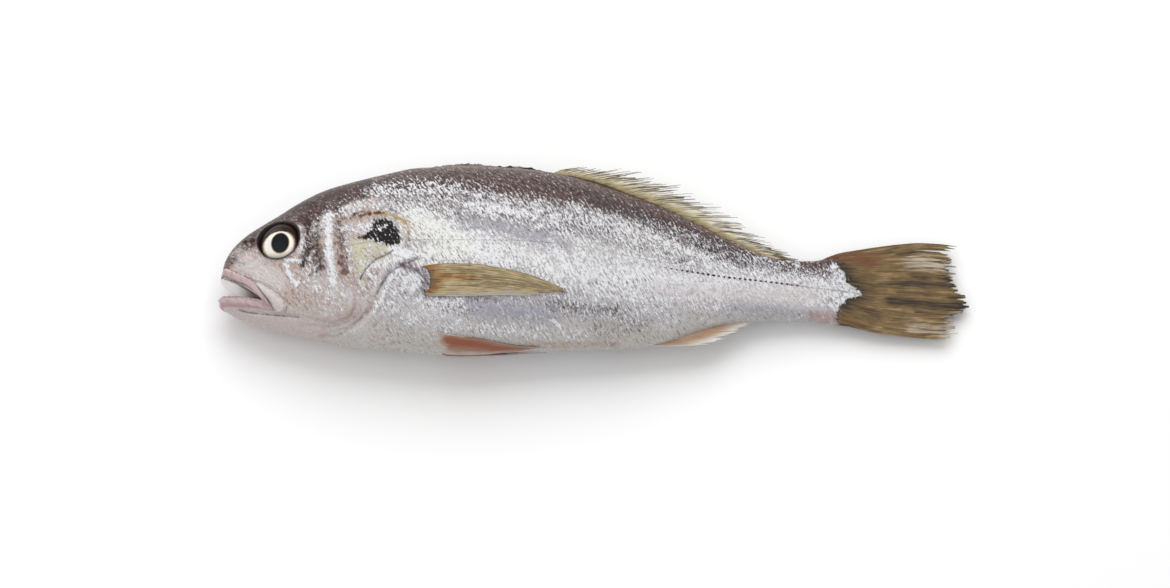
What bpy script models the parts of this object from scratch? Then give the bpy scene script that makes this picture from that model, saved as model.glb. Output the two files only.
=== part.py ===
"""A whole raw croaker lying on its right side, head towards -X, back towards +Y, left flank up.

Body, head and fins are one solid, and each eyeball is a solid of its own in its socket.
Sizes are in millimetres and become metres only where a vertex is made. x runs from the tip of the
lower jaw to the tip of the tail, y from the belly (-) to the back (+), and z up from the table.
"""

import bisect
import math

import bmesh
import bpy
from mathutils import Matrix, Vector

MM = 0.001

# Driving sizes
TAIL_TIP = 301.6
BODY_END = 262.0
BODY_RINGS = 40
BODY_SIDES = 32
MIDDLE = Vector((150.5, 8.0, 0.0))
WIDEST_AT = 0.52
CLEARANCE = 0.3

# Side view of the body, as (distance from the jaw tip, height), and its half width and spine height
BACK = [(0, -6.2), (1.2, 3), (2.6, 10.2), (7, 16.6), (13, 21), (25, 27.9), (37, 34.7), (49, 39.3), (65, 43.5),
        (81, 46.6), (97, 47.3), (113, 46.8), (129, 45.4), (144, 42.4), (160, 37.4), (176, 31.6), (192, 24.4),
        (208, 16.8), (218, 12.6), (227, 10.9), (236, 11), (250, 13.6), (BODY_END, 14.6)]
BELLY = [(0, -7.6), (2.2, -11.1), (7, -14.8), (17, -19.7), (32, -23.6), (56, -28.4), (80, -31.2), (100, -31.9),
         (125, -30.4), (150, -29.4), (168, -28.2), (178, -26), (192, -20.6), (205, -16.8), (218, -15),
         (233, -14.3), (250, -16), (BODY_END, -16.6)]
HALF_WIDTH = [(0, 1.6), (1.5, 4.2), (4, 6.4), (10, 9.4), (20, 12.6), (32, 15.6), (45, 18), (60, 19.6), (80, 20.5),
              (100, 20.5), (125, 19), (150, 16.5), (175, 13), (200, 9), (225, 6), (245, 4), (255, 2.2),
              (BODY_END, 0.8)]
SPINE_HEIGHT = [(0, 13), (20, 15.5), (45, 17.5), (75, 18), (125, 18), (175, 15), (225, 9.5), (253, 6.6),
                (278, 5), (TAIL_TIP, 4.2)]

# Head, all outlines as (x, y) on the flank
MOUTH_GAP = [(-5, 2.2), (1.4, 0.4), (6.2, -2.1), (9.4, -4.3), (12.6, -6.6), (15.6, -9), (18, -11.3), (14.6, -10.3),
             (10.6, -9.3), (6.6, -8.2), (2.6, -7.2), (-5, -7.4)]
MOUTH_CAVITY = ((13, -6, 0), (10, 5.4, 7))
UPPER_LIP = [(2.9, 1.7), (4.6, 0.7), (7.4, -1.1), (11, -3.7), (15, -7), (18.4, -10.4), (21, -13.2), (23, -15.4)]
LOWER_LIP = [(2.1, -9), (4.6, -9.9), (8, -10.9), (12, -11.7), (16, -12.3), (20, -13.4)]
UPPER_LIP_RADIUS = (1.9, 1.2)
LOWER_LIP_RADIUS = (1.9, 1.4)
UPPER_JAW_BONE = [(14.5, -4.4), (18, -6.5), (22, -9.2), (25.4, -12), (27.6, -14.4), (27.8, -16.4), (26, -17.2),
                  (23.4, -16.2), (20.6, -13.2), (17.6, -9.4)]
CHEEK = [(26, 2), (34, 16), (47, 20), (48.4, 12), (50, 5), (51.6, -1), (53, -7), (55, -12.5), (55.6, -16.4),
         (53.6, -19.8), (49.6, -21.4), (43, -21.3), (36, -19.6), (28, -14)]
GILL_COVER = [(44, 18), (53, 22.6), (61, 23), (66.5, 22), (71, 18.8), (74.6, 13.6), (76.6, 8), (75.4, 4.4), (71, 0.2),
              (68, -4.4), (65.4, -9.6), (63, -14.8), (59.4, -19.6), (54.6, -23.2), (48, -25.4), (40, -24.6), (30, -16)]
GILL_RAYS = [[(68.6, -6), (66.2, -12), (62.6, -17.8), (57.4, -22.6), (50.6, -25.8), (43, -26)],
             [(70.4, -8), (68, -13.8), (64.2, -19.6), (59, -24.2), (52.6, -27), (46, -27.2)]]
EYE_AT = (24.4, 12.5)
EYE_RADII = (8.5, 8.5, 4.6)
EYE_SUNK = 2.3
SOCKET_RIM = (8.3, 1.0)
NOSTRILS = [((10.8, 14.6), 0.8), ((13.8, 14.4), 1.1)]
SHOULDER = ((76, -6), (11, 8.6, 3.2), -12)
SHOULDER_SUNK = 1.7

# Fins
PECTORAL_ROOT = ((79, -2.4), (80.5, -11.4))
PECTORAL_TIPS = [(0, 139, -9), (0.3, 140.2, -10.2), (0.65, 137, -11.2), (1, 127, -12)]
PECTORAL_ARCH = 3.8
PECTORAL_RAYS = 5
PELVIC_ROOT = (87, 90)
PELVIC_TIP = (129, 122)
PELVIC_SPREAD = ((148, 176), (158, 174))
PELVIC_RAYS = 4
SPINY_DORSAL = (82, 133)
SPINY_DORSAL_HEIGHT = 1.8
SPINES = 7
SOFT_DORSAL_FROM, SOFT_DORSAL_TO = 131, 221
SOFT_DORSAL_RAYS = 15
SOFT_DORSAL_REACH = [(131, 12), (140, 20), (152, 26), (176, 24), (200, 21.5), (221, 16)]
SOFT_DORSAL_RISE = [(131, 1.8), (140, 2.2), (152, 1.4), (168, 0), (184, -2.4), (200, -4), (210, -3.6), (221, -3)]
ANAL_ROOT = (173, 203)
ANAL_TIPS = [(189, -28.4), (199, -25.8), (207, -22.6), (212, -19.8), (213.5, -17.2)]
ANAL_RAYS = 7
TAIL_ROOT = 244.0
TAIL_RAYS = 13
TAIL_END = [(21.4, 292.5), (16.4, 294.6), (11, 294.4), (7, 294.4), (3.6, 297.4), (-1, 299.4), (-6, TAIL_TIP),
            (-10, 299), (-14, 296), (-18, 293.4), (-22.2, 292)]
RAY_RELIEF = 0.22


def curve_through(knots):
    """A smooth function through (x, y) knots that never overshoots between two of them."""
    xs = [k[0] for k in knots]
    ys = [k[1] for k in knots]
    rises = [(ys[i + 1] - ys[i]) / (xs[i + 1] - xs[i]) for i in range(len(xs) - 1)]
    slopes = [rises[0]]
    for before, after in zip(rises, rises[1:]):
        slopes.append(2 * before * after / (before + after) if before * after > 0 else 0.0)
    slopes.append(rises[-1])

    def value(x):
        x = min(max(x, xs[0]), xs[-1])
        i = min(max(bisect.bisect_right(xs, x) - 1, 0), len(xs) - 2)
        run = xs[i + 1] - xs[i]
        t = (x - xs[i]) / run
        return ((2 * t**3 - 3 * t**2 + 1) * ys[i] + (t**3 - 2 * t**2 + t) * run * slopes[i]
                + (3 * t**2 - 2 * t**3) * ys[i + 1] + (t**3 - t**2) * run * slopes[i + 1])

    return value


back = curve_through(BACK)
belly = curve_through(BELLY)
half_width = curve_through(HALF_WIDTH)
spine = curve_through(SPINE_HEIGHT)


def spread(low, high, count):
    """count values from low to high, both included."""
    return [low + (high - low) * i / (count - 1) for i in range(count)]


def blend(low, high, share):
    """low at share 0, high at share 1, eased at both ends."""
    share = min(max(share, 0.0), 1.0)
    return low + (high - low) * share * share * (3 - 2 * share)


def skin(x, turn, lift=0.0):
    """The point on the body at x, turned from the back (0) over the left flank (90) to the belly (180)."""
    low, high = belly(x), back(x)
    middle = low + WIDEST_AT * (high - low)
    angle = math.radians(turn)
    reach = (high - middle if math.cos(angle) > 0 else middle - low) + lift
    y = middle + reach * math.cos(angle)
    z = spine(x) + (half_width(x) + lift) * math.sin(angle)
    return Vector((x, y, z))


def turn_at(x, y):
    """How far round the left flank the height y lies, in degrees from the back."""
    low, high = belly(x), back(x)
    middle = low + WIDEST_AT * (high - low)
    reach = high - middle if y > middle else middle - low
    return math.degrees(math.acos(min(max((y - middle) / reach, -1.0), 1.0)))


def on_flank(x, y, side=1, lift=0.0):
    """The point at (x, y) of the left flank (side 1) or of the right one (side -1)."""
    turn = turn_at(x, y)
    return skin(x, turn if side > 0 else 360 - turn, lift)


def outward(x, y, side):
    """The direction that the flank faces at (x, y)."""
    step = 1.5
    along = on_flank(x + step, y, side) - on_flank(x - step, y, side)
    across = on_flank(x, y + step, side) - on_flank(x, y - step, side)
    normal = along.cross(across).normalized()
    return normal if normal.z * side > 0 else -normal


def placed(point):
    """A point of the fish in metres, with the origin under the middle of the whole fish."""
    return (Vector(point) - MIDDLE) * MM


def material(name, rgb, roughness, metallic=0.0):
    made = bpy.data.materials.new(name)
    made.use_nodes = True
    shader = made.node_tree.nodes["Principled BSDF"]
    shader.inputs["Base Color"].default_value = (*rgb, 1.0)
    shader.inputs["Roughness"].default_value = roughness
    shader.inputs["Metallic"].default_value = metallic
    made.diffuse_color = (*rgb, 1.0)
    return made


def mesh_object(name, points, faces, look, group):
    """An object from points in fish millimetres and faces, with its normals facing out."""
    mesh = bpy.data.meshes.new(name)
    mesh.from_pydata([placed(p) for p in points], [], faces)
    made = bmesh.new()
    made.from_mesh(mesh)
    bmesh.ops.recalc_face_normals(made, faces=made.faces)
    made.to_mesh(mesh)
    made.free()
    mesh.materials.append(look)
    result = bpy.data.objects.new(name, mesh)
    group.objects.link(result)
    return result


def body(name, look, group, rise=lambda x: 0.0, start=0.0, end=BODY_END, rings=BODY_RINGS, sides=BODY_SIDES):
    """A loft through the fish's sections from start to end, grown by rise(x). Rings crowd towards the snout."""
    stations = [start + (end - start) * (0.35 * s + 0.65 * s * s) for s in spread(0, 1, rings)]
    points = [skin(x, 360 * k / sides, rise(x)) for x in stations for k in range(sides)]
    faces = [(r * sides + k, r * sides + (k + 1) % sides, (r + 1) * sides + (k + 1) % sides, (r + 1) * sides + k)
             for r in range(rings - 1) for k in range(sides)]
    faces += [tuple(range(sides)), tuple(range((rings - 1) * sides, rings * sides))]
    return mesh_object(name, points, faces, look, group)


def as_mesh(curve_object, group):
    """The mesh that a curve object makes, as an object in its place, with its caps welded."""
    graph = bpy.context.evaluated_depsgraph_get()
    mesh = bpy.data.meshes.new_from_object(curve_object.evaluated_get(graph))
    welded = bmesh.new()
    welded.from_mesh(mesh)
    bmesh.ops.remove_doubles(welded, verts=welded.verts, dist=1e-6)
    bmesh.ops.recalc_face_normals(welded, faces=welded.faces)
    welded.to_mesh(mesh)
    welded.free()
    name = curve_object.name
    result = bpy.data.objects.new(name, mesh)
    result.matrix_world = curve_object.matrix_world
    bpy.data.objects.remove(curve_object)
    result.name = name
    group.objects.link(result)
    return result


def prism(name, outline, look, group):
    """The closed outline, rounded between its points, drawn right through the fish from side to side."""
    half_depth = 34 * MM
    curve = bpy.data.curves.new(name, "CURVE")
    curve.dimensions = "2D"
    curve.fill_mode = "BOTH"
    curve.extrude = half_depth
    curve.resolution_u = 3
    spline = curve.splines.new("BEZIER")
    spline.bezier_points.add(len(outline) - 1)
    spline.use_cyclic_u = True
    for point, (x, y) in zip(spline.bezier_points, outline):
        at = placed((x, y, 0))
        point.co = (at.x, at.y, 0)
        point.handle_left_type = point.handle_right_type = "AUTO"
    curve.materials.append(look)
    drawn = bpy.data.objects.new(name, curve)
    drawn.location.z = SPINE_HEIGHT[3][1] * MM
    group.objects.link(drawn)
    bpy.context.view_layer.update()
    return as_mesh(drawn, group)


def tube(name, points, radii, look, group, closed=False):
    """A round bar along points in fish millimetres, its radius running through radii, or a ring if closed."""
    curve = bpy.data.curves.new(name, "CURVE")
    curve.dimensions = "3D"
    curve.bevel_depth = MM
    curve.bevel_resolution = 1
    curve.use_fill_caps = True
    spline = curve.splines.new("POLY")
    spline.points.add(len(points) - 1)
    spline.use_cyclic_u = closed
    for point, at, radius in zip(spline.points, points, radii):
        point.co = (*placed(at), 1.0)
        point.radius = radius
    curve.materials.append(look)
    drawn = bpy.data.objects.new(name, curve)
    group.objects.link(drawn)
    bpy.context.view_layer.update()
    return as_mesh(drawn, group)


def boolean(target, operation, other):
    """Applies one Boolean on target with an object or a collection, and removes what it used."""
    modifier = target.modifiers.new(operation.title(), "BOOLEAN")
    modifier.operation = operation
    modifier.solver = "MANIFOLD"
    used = [other]
    if isinstance(other, bpy.types.Collection):
        modifier.operand_type = "COLLECTION"
        modifier.collection = other
        used = list(other.objects)
    else:
        modifier.object = other
    bpy.context.view_layer.update()
    graph = bpy.context.evaluated_depsgraph_get()
    target.data = bpy.data.meshes.new_from_object(target.evaluated_get(graph))
    target.modifiers.remove(modifier)
    for spent in used:
        bpy.data.objects.remove(spent)
    return target


def raised_plate(name, outline, rise, look, group, cutters):
    """A bony plate of both sides of the head: the body grown by rise(x), kept only inside the outline."""
    reach = [x for x, _ in outline]
    plate = body(name, look, group, rise, start=min(reach) - 3, end=max(reach) + 3, rings=12)
    return boolean(plate, "INTERSECT", prism(name + "_outline", outline, look, cutters))


def ellipsoid(name, radii, matrix, look, group, segments=20, rings=12):
    """A ball stretched to radii in millimetres and set by matrix, whose place is in fish millimetres."""
    ball = bmesh.new()
    bmesh.ops.create_uvsphere(ball, u_segments=segments, v_segments=rings, radius=1.0)
    turn = matrix.to_3x3()
    centre = matrix.to_translation()
    for vertex in ball.verts:
        vertex.co = placed(turn @ Vector([c * r for c, r in zip(vertex.co, radii)]) + centre)
    mesh = bpy.data.meshes.new(name)
    ball.to_mesh(mesh)
    ball.free()
    mesh.materials.append(look)
    result = bpy.data.objects.new(name, mesh)
    group.objects.link(result)
    return result


def flank_frame(x, y, side, sunk):
    """A matrix at (x, y) of a flank, sunk below the skin, whose Z is the way the flank faces."""
    normal = outward(x, y, side)
    turn = normal.to_track_quat("Z", "Y").to_matrix().to_4x4()
    return Matrix.Translation(on_flank(x, y, side) - normal * sunk) @ turn


def fin(name, place, across, along, thickness, look, group):
    """A thin fin from the sheet place(v, u), v 0 to 1 across its rays and u 0 to 1 from root to tip."""
    points = [place(v, u) for v in spread(0, 1, across) for u in spread(0, 1, along)]
    faces = [(a * along + b, a * along + b + 1, (a + 1) * along + b + 1, (a + 1) * along + b)
             for a in range(across - 1) for b in range(along - 1)]
    sheet = mesh_object(name, points, faces, look, group)
    shell = sheet.modifiers.new("Thickness", "SOLIDIFY")
    shell.thickness = thickness * MM
    shell.offset = 0.0
    return sheet


def ripple(v, rays):
    """1 on a ray and -1 midway between two of them."""
    return math.cos(2 * math.pi * v * rays)


def add_lips(look, group):
    for name, line, (front, corner) in (("upper_lip", UPPER_LIP, UPPER_LIP_RADIUS),
                                        ("lower_lip", LOWER_LIP, LOWER_LIP_RADIUS)):
        left = [on_flank(x, y, 1, -0.45 * front) for x, y in line]
        right = [on_flank(x, y, -1, -0.45 * front) for x, y in line]
        first_x, first_y = line[0]
        tip = Vector((first_x - 0.7, first_y, spine(first_x)))
        radii = spread(corner, front, len(line))
        tube(name, left[::-1] + [tip] + right, radii + [front] + radii[::-1], look, group)


def add_gill_rays(look, group):
    """The soft pleats under the gill cover, one bar each, on both sides."""
    for side in (1, -1):
        for n, line in enumerate(GILL_RAYS):
            points = [on_flank(x, y, side, -0.5) for x, y in line]
            radii = [blend(0.7, 1.5, 2 * min(s, 1 - s)) for s in spread(0, 1, len(points))]
            tube(f"gill_ray_{n}_{side}", points, radii, look, group)


def add_pectoral_fins(look, group):
    """Both lie back along the flank. The right one is mostly pressed away under the fish."""
    tip_x = curve_through([(share, x) for share, x, _ in PECTORAL_TIPS])
    tip_y = curve_through([(share, y) for share, _, y in PECTORAL_TIPS])
    (top_x, top_y), (low_x, low_y) = PECTORAL_ROOT
    for side, name in ((1, "pectoral_left"), (-1, "pectoral_right")):

        def place(v, u):
            x = (top_x + (low_x - top_x) * v) * (1 - u) + tip_x(v) * u
            y = (top_y + (low_y - top_y) * v) * (1 - u) + tip_y(v) * u
            y += PECTORAL_ARCH * math.sin(math.pi * u) * (1 - v)
            lift = blend(-0.9, 0.5, u * 6) + RAY_RELIEF * ripple(v, PECTORAL_RAYS) * (1 - u)
            return on_flank(x, y, side, lift)

        fin(name, place, 2 * PECTORAL_RAYS + 1, 7, 1.0, look, group)


def add_pelvic_fins(look, group):
    for side, name in ((1, "pelvic_left"), (-1, "pelvic_right")):

        def place(v, u):
            x = blend(PELVIC_ROOT[0], PELVIC_ROOT[1], v) * (1 - u) + blend(PELVIC_TIP[0], PELVIC_TIP[1], v) * u
            (root_top, root_low), (tip_top, tip_low) = PELVIC_SPREAD
            turn = (root_top * (1 - v) + root_low * v) * (1 - u) + (tip_top * (1 - v) + tip_low * v) * u
            lift = blend(-0.8, 0.7, u * 5) + RAY_RELIEF * ripple(v, PELVIC_RAYS)
            return skin(x, turn if side > 0 else 360 - turn, lift)

        fin(name, place, 2 * PELVIC_RAYS + 1, 5, 1.2, look, group)


def add_spiny_dorsal(look, group):
    """The first dorsal fin, folded flat: a low crest of overlapping spines along the back."""
    start, end = SPINY_DORSAL

    def place(v, u):
        x = start + (end - start) * v
        ends = min(1.0, 6 * v, 6 * (1 - v))
        step = (v * SPINES) % 1.0
        height = SPINY_DORSAL_HEIGHT * ends * (0.78 + 0.3 * step)
        return Vector((x, back(x) - 2.2 + (height + 2.2) * u, spine(x)))

    fin("spiny_dorsal", place, 2 * SPINES + 1, 3, 2.4, look, group)


def add_soft_dorsal(look, group):
    """The second dorsal fin, laid back. Its ray tips stand free of the web by turns."""
    reach = curve_through(SOFT_DORSAL_REACH)
    rise = curve_through(SOFT_DORSAL_RISE)
    across = 2 * SOFT_DORSAL_RAYS + 1

    def place(v, u):
        x = SOFT_DORSAL_FROM + (SOFT_DORSAL_TO - SOFT_DORSAL_FROM) * v
        u *= 1.0 if round(v * (across - 1)) % 2 == 0 else 0.84
        length = reach(x)
        away = math.sin(math.pi * min(u, 0.5)) * 1.2
        z = spine(x + length * u) + 0.25 * ripple(v, SOFT_DORSAL_RAYS) * u
        return Vector((x + length * u, back(x) - 1.6 + (rise(x) + 1.6) * u + away, z))

    fin("soft_dorsal", place, across, 5, 1.1, look, group)


def add_anal_fin(look, group):
    tips = curve_through([(i / (len(ANAL_TIPS) - 1), p[0]) for i, p in enumerate(ANAL_TIPS)])
    drops = curve_through([(i / (len(ANAL_TIPS) - 1), p[1]) for i, p in enumerate(ANAL_TIPS)])
    across = 2 * ANAL_RAYS + 1

    def place(v, u):
        ray = round(v * (across - 1)) % 2 == 0
        root_x = ANAL_ROOT[0] + (ANAL_ROOT[1] - ANAL_ROOT[0]) * v
        root = Vector((root_x, belly(root_x) + 2.4, spine(root_x)))
        tip = Vector((tips(v), drops(v), spine(tips(v))))
        return root.lerp(tip, u * (1.0 if ray else 0.9))

    fin("anal_fin", place, across, 4, 1.3, look, group)


def add_tail_fin(look, group):
    """The tail fan: ridged rays from the fleshy tail stalk out to ragged tips, blunt and longest in the middle."""
    end = curve_through(sorted((y, x) for y, x in TAIL_END))
    across = 2 * TAIL_RAYS + 1
    high, low = TAIL_END[0][0], TAIL_END[-1][0]

    def place(v, u):
        ray = round(v * (across - 1)) % 2 == 0
        tip_y = high + (low - high) * v
        tip_x = end(tip_y) - (0.0 if ray else 2.6)
        x = TAIL_ROOT + (tip_x - TAIL_ROOT) * u
        root_y = (back(TAIL_ROOT) - 1.5) * (1 - v) + (belly(TAIL_ROOT) + 1.5) * v
        fan = u ** 0.82
        z = spine(x) + RAY_RELIEF * ripple(v, TAIL_RAYS) * blend(0.2, 1, u * 3)
        return Vector((x, root_y + (tip_y - root_y) * fan, z))

    fin("tail_fin", place, across, 7, 1.4, look, group)


def add_shoulder(look, group):
    """The fleshy lobe that carries the pectoral fin, on both sides."""
    (x, y), radii, lean = SHOULDER
    for side in (1, -1):
        frame = flank_frame(x, y, side, SHOULDER_SUNK) @ Matrix.Rotation(math.radians(lean * side), 4, "Z")
        ellipsoid(f"shoulder_{side}", radii, frame, look, group, 16, 8)


def table_block(look, group):
    """All that is under the table's top, which the fish's own weight presses flat."""
    corners = [Vector((x, y, z)) for z in (-30, 0) for x, y in ((-20, -60), (320, -60), (320, 80), (-20, 80))]
    faces = [(0, 1, 2, 3), (4, 5, 6, 7)] + [(k, (k + 1) % 4, 4 + (k + 1) % 4, 4 + k) for k in range(4)]
    return mesh_object("table_block", corners, faces, look, group)


def eye_parts(side, eye_look, skin_look, group, cutters):
    """(eyeball, socket cutter, rim) of one side, all set square to the skin."""
    x, y = EYE_AT
    frame = flank_frame(x, y, side, EYE_SUNK)
    word = "left" if side > 0 else "right"
    ball = ellipsoid(f"eye_{word}", EYE_RADII, frame, eye_look, group)
    grown = [r + CLEARANCE for r in EYE_RADII]
    socket = ellipsoid(f"socket_{word}", grown, frame, skin_look, cutters)
    around, thick = SOCKET_RIM
    rim_frame = flank_frame(x, y, side, 0.25)
    turns = [2 * math.pi * k / 24 for k in range(24)]
    circle = [rim_frame @ Vector((around * math.cos(a), around * math.sin(a), 0)) for a in turns]
    lid = tube(f"lid_{word}", circle, [thick] * len(circle), skin_look, cutters, closed=True)
    return ball, socket, lid


def add_fish(looks, group, cutters, joined):
    """The fish itself: the body with its mouth, sockets and nostrils cut, joined with plates, lips and fins."""
    fish = body("fish", looks["skin"], group)
    boolean(fish, "DIFFERENCE", prism("mouth_gap", MOUTH_GAP, looks["mouth"], cutters))
    (x, y, _), radii = MOUTH_CAVITY
    hollow = Matrix.Translation((x, y, spine(x)))
    boolean(fish, "DIFFERENCE", ellipsoid("mouth_cavity", radii, hollow, looks["mouth"], cutters, 16, 8))

    raised_plate("gill_cover", GILL_COVER, lambda x: blend(-0.7, 1.5, (x - 40) / 32), looks["skin"], joined, cutters)
    raised_plate("cheek", CHEEK, lambda x: blend(-0.8, 1.7, (x - 25) / 29), looks["skin"], joined, cutters)
    raised_plate("upper_jaw_bone", UPPER_JAW_BONE, lambda x: blend(0.3, 1.5, (x - 13) / 9), looks["lip"], joined,
                 cutters)
    add_lips(looks["lip"], joined)
    add_gill_rays(looks["lip"], joined)
    add_shoulder(looks["skin"], joined)
    add_pectoral_fins(looks["fin"], joined)
    add_pelvic_fins(looks["fin"], joined)
    add_spiny_dorsal(looks["fin"], joined)
    add_soft_dorsal(looks["fin"], joined)
    add_anal_fin(looks["fin"], joined)
    add_tail_fin(looks["fin"], joined)
    sockets = []
    for side in (1, -1):
        _, socket, lid = eye_parts(side, looks["eye"], looks["skin"], group, cutters)
        joined.objects.link(lid)
        cutters.objects.unlink(lid)
        sockets.append(socket)
    boolean(fish, "UNION", joined)
    for socket in sockets:
        boolean(fish, "DIFFERENCE", socket)
    boolean(fish, "DIFFERENCE", table_block(looks["skin"], cutters))
    for (x, y), radius in NOSTRILS:
        for side in (1, -1):
            pit = ellipsoid(f"nostril_{side}", (radius,) * 3, flank_frame(x, y, side, 0), looks["mouth"], cutters, 10, 6)
            boolean(fish, "DIFFERENCE", pit)
    return fish


def main():
    for old in list(bpy.data.objects):
        bpy.data.objects.remove(old)
    scene = bpy.context.scene
    group = bpy.data.collections.new("whole_raw_fish")
    cutters = bpy.data.collections.new("cutters")
    joined = bpy.data.collections.new("joined")
    for made in (group, cutters, joined):
        scene.collection.children.link(made)
    looks = {
        "skin": material("silver_skin", (0.62, 0.61, 0.6), 0.32, 0.35),
        "lip": material("pink_lip", (0.58, 0.42, 0.42), 0.4),
        "mouth": material("mouth_lining", (0.42, 0.16, 0.14), 0.45),
        "fin": material("olive_fin", (0.3, 0.22, 0.12), 0.5),
        "eye": material("eye", (0.7, 0.68, 0.62), 0.12),
    }
    add_fish(looks, group, cutters, joined)
    for spent in (cutters, joined):
        bpy.data.collections.remove(spent)
    for made in group.objects:
        made.data.shade_smooth()
        made.data.set_sharp_from_angle(angle=math.radians(35))


main()
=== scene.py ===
"""The look of a whole raw croaker lying on its right side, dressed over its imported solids.

Sizes are millimetres until placed() makes them metres. x runs from the tip of the lower jaw to the
tail, y from the belly (-) to the back (+), z up from the table. The left flank is up.
"""
import math

import bmesh
import bpy
import numpy as np
from mathutils import Matrix, Vector, noise


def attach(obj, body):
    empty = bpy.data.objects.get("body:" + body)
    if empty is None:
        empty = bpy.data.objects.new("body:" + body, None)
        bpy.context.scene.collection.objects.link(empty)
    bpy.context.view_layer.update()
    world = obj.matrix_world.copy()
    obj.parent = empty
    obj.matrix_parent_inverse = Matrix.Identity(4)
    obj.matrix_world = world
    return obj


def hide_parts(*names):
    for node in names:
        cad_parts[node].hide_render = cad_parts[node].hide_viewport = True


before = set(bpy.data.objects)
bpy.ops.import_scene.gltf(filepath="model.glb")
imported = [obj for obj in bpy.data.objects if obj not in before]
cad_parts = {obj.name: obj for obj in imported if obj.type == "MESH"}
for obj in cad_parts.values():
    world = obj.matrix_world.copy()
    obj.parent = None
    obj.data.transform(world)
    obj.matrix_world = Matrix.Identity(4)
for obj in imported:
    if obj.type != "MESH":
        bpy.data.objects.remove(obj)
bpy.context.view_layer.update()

MM = 0.001
MIDDLE = np.array([150.5, 8.0, 0.0])
PHOTO_WIDTH_PX = 1170
PHOTO_PIXEL_MM = 0.4
CAMERA_ELEVATION = math.radians(70)
CAMERA_DISTANCE = 4.0

# The body's side view, half width and spine height, as in the solids
WIDEST_AT = 0.52
BODY_END = 262.0
TAIL_TIP = 301.6
BACK = [(0, -6.2), (1.2, 2.6), (2.6, 8.9), (7, 15.5), (13, 20.4), (25, 27.6), (37, 34.7), (49, 39.3), (65, 43.5),
        (81, 46.6), (97, 47.3), (113, 46.8), (129, 45.4), (144, 42.4), (160, 37.4), (176, 31.6), (192, 24.4),
        (208, 16.8), (218, 12.6), (227, 10.9), (236, 11), (250, 13.6), (BODY_END, 14.6)]
BELLY = [(0, -7.6), (2.2, -11.1), (7, -14.8), (17, -19.7), (32, -23.6), (56, -28.4), (80, -31.2), (100, -31.9),
         (125, -30.4), (150, -29.4), (168, -28.2), (178, -26), (192, -20.6), (205, -16.8), (218, -15),
         (233, -14.3), (250, -16), (BODY_END, -16.6)]
HALF_WIDTH = [(0, 1.6), (1.5, 4.2), (4, 6.4), (10, 9.4), (20, 12.6), (32, 15.6), (45, 18), (60, 19.6), (80, 20.5),
              (100, 20.5), (125, 19), (150, 16.5), (175, 13), (200, 9), (225, 6), (245, 4), (255, 2.2),
              (BODY_END, 0.8)]
SPINE_HEIGHT = [(0, 13), (20, 15.5), (45, 17.5), (75, 18), (125, 18), (175, 15), (225, 9.5), (253, 6.6),
                (278, 5), (TAIL_TIP, 4.2)]

# The head's lines and plates, as (x, y) on the flank
MOUTH_GAP = [(-5, 2.2), (1.4, 0.4), (6.2, -2.1), (9.4, -4.3), (12.6, -6.6), (15.6, -9), (18, -11.3), (14.6, -10.3),
             (10.6, -9.3), (6.6, -8.2), (2.6, -7.2), (-5, -7.4)]
MOUTH_CAVITY = ((17.4, -9.6), (4.6, 3.4, 5))
# Each lip: x and y of its middle line, and half its height there
UPPER_LIP = [(3.0, 2.5, 2.0), (4.6, 1.2, 1.9), (7.0, -0.7, 1.8), (10.0, -2.6, 1.8), (12.2, -4.1, 1.75),
             (14.0, -5.7, 1.6), (15.8, -7.6, 1.35), (17.8, -10.0, 1.1), (19.6, -12.2, 0.95), (21.0, -14.0, 0.85),
             (22.6, -15.6, 0.6)]
LOWER_LIP = [(2.4, -9.3, 1.9), (4.6, -9.9, 2.05), (8.8, -10.9, 2.15), (12.8, -12.0, 1.95), (16.6, -13.2, 1.6),
             (20.0, -14.5, 1.15), (23.0, -15.7, 0.6)]
UPPER_JAW_BONE = [(15.1, -4.6), (18.5, -6.5), (22, -9.1), (24.5, -11.3), (26.4, -13), (27.3, -15.4), (26.5, -16.8),
                  (24.6, -16.9), (22.6, -15.2), (20.3, -11.8), (18.3, -9.3), (16.2, -6.4)]
CHEEK = [(26, 2), (34, 16), (47, 20), (48.4, 12), (50, 5), (51.6, -1), (53, -7), (55, -12.5), (55.6, -16.4),
         (53.6, -19.8), (49.6, -21.4), (43, -21.3), (36, -19.6), (28, -14)]
GILL_COVER = [(44, 18), (53, 22.6), (61, 23), (66.5, 22), (71, 18.8), (74.6, 13.6), (75.8, 9), (75.9, 5.4), (78.2, 3.2),
              (79.8, 1.7), (75, -0.8), (71.5, -2.6), (68.4, -4.9), (65.7, -8.8), (63.9, -12.2), (62.2, -15.9),
              (59.6, -19.2), (54.6, -23.2), (48, -25.4), (40, -24.6), (30, -16)]
EYE_AT = (24.4, 12.5)
EYE_RADII = (8.5, 8.5, 4.6)
EYE_SUNK = 2.3
SHOULDER_AT = (76, -6)
SHOULDER_RADII = (11, 8.6, 3.2)
SHOULDER_LEAN = -12
SHOULDER_SUNK = 1.7
BLOTCH = [(61.9, 17.8), (64.4, 18.4), (67.9, 17.8), (70.6, 16.2), (72.2, 14.7), (73.3, 10.3), (73.5, 7.5), (71.5, 6.1),
          (68.8, 6.2), (65.7, 7.2), (62.2, 8), (59.9, 9.3), (56.2, 10.4), (59.2, 12), (60.4, 14.6)]
PORE_LINE = [(74.6, 12), (88.6, 15.9), (104.6, 16.4), (120.6, 14.6), (136.6, 11.7), (152.6, 7.6), (168.6, 3.7),
             (179.8, 1.3), (188.6, 0.7), (204.6, -0.3), (220.6, -0.7), (236.6, -1.9), (252.6, -2.5), (259, -2.9)]
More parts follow.
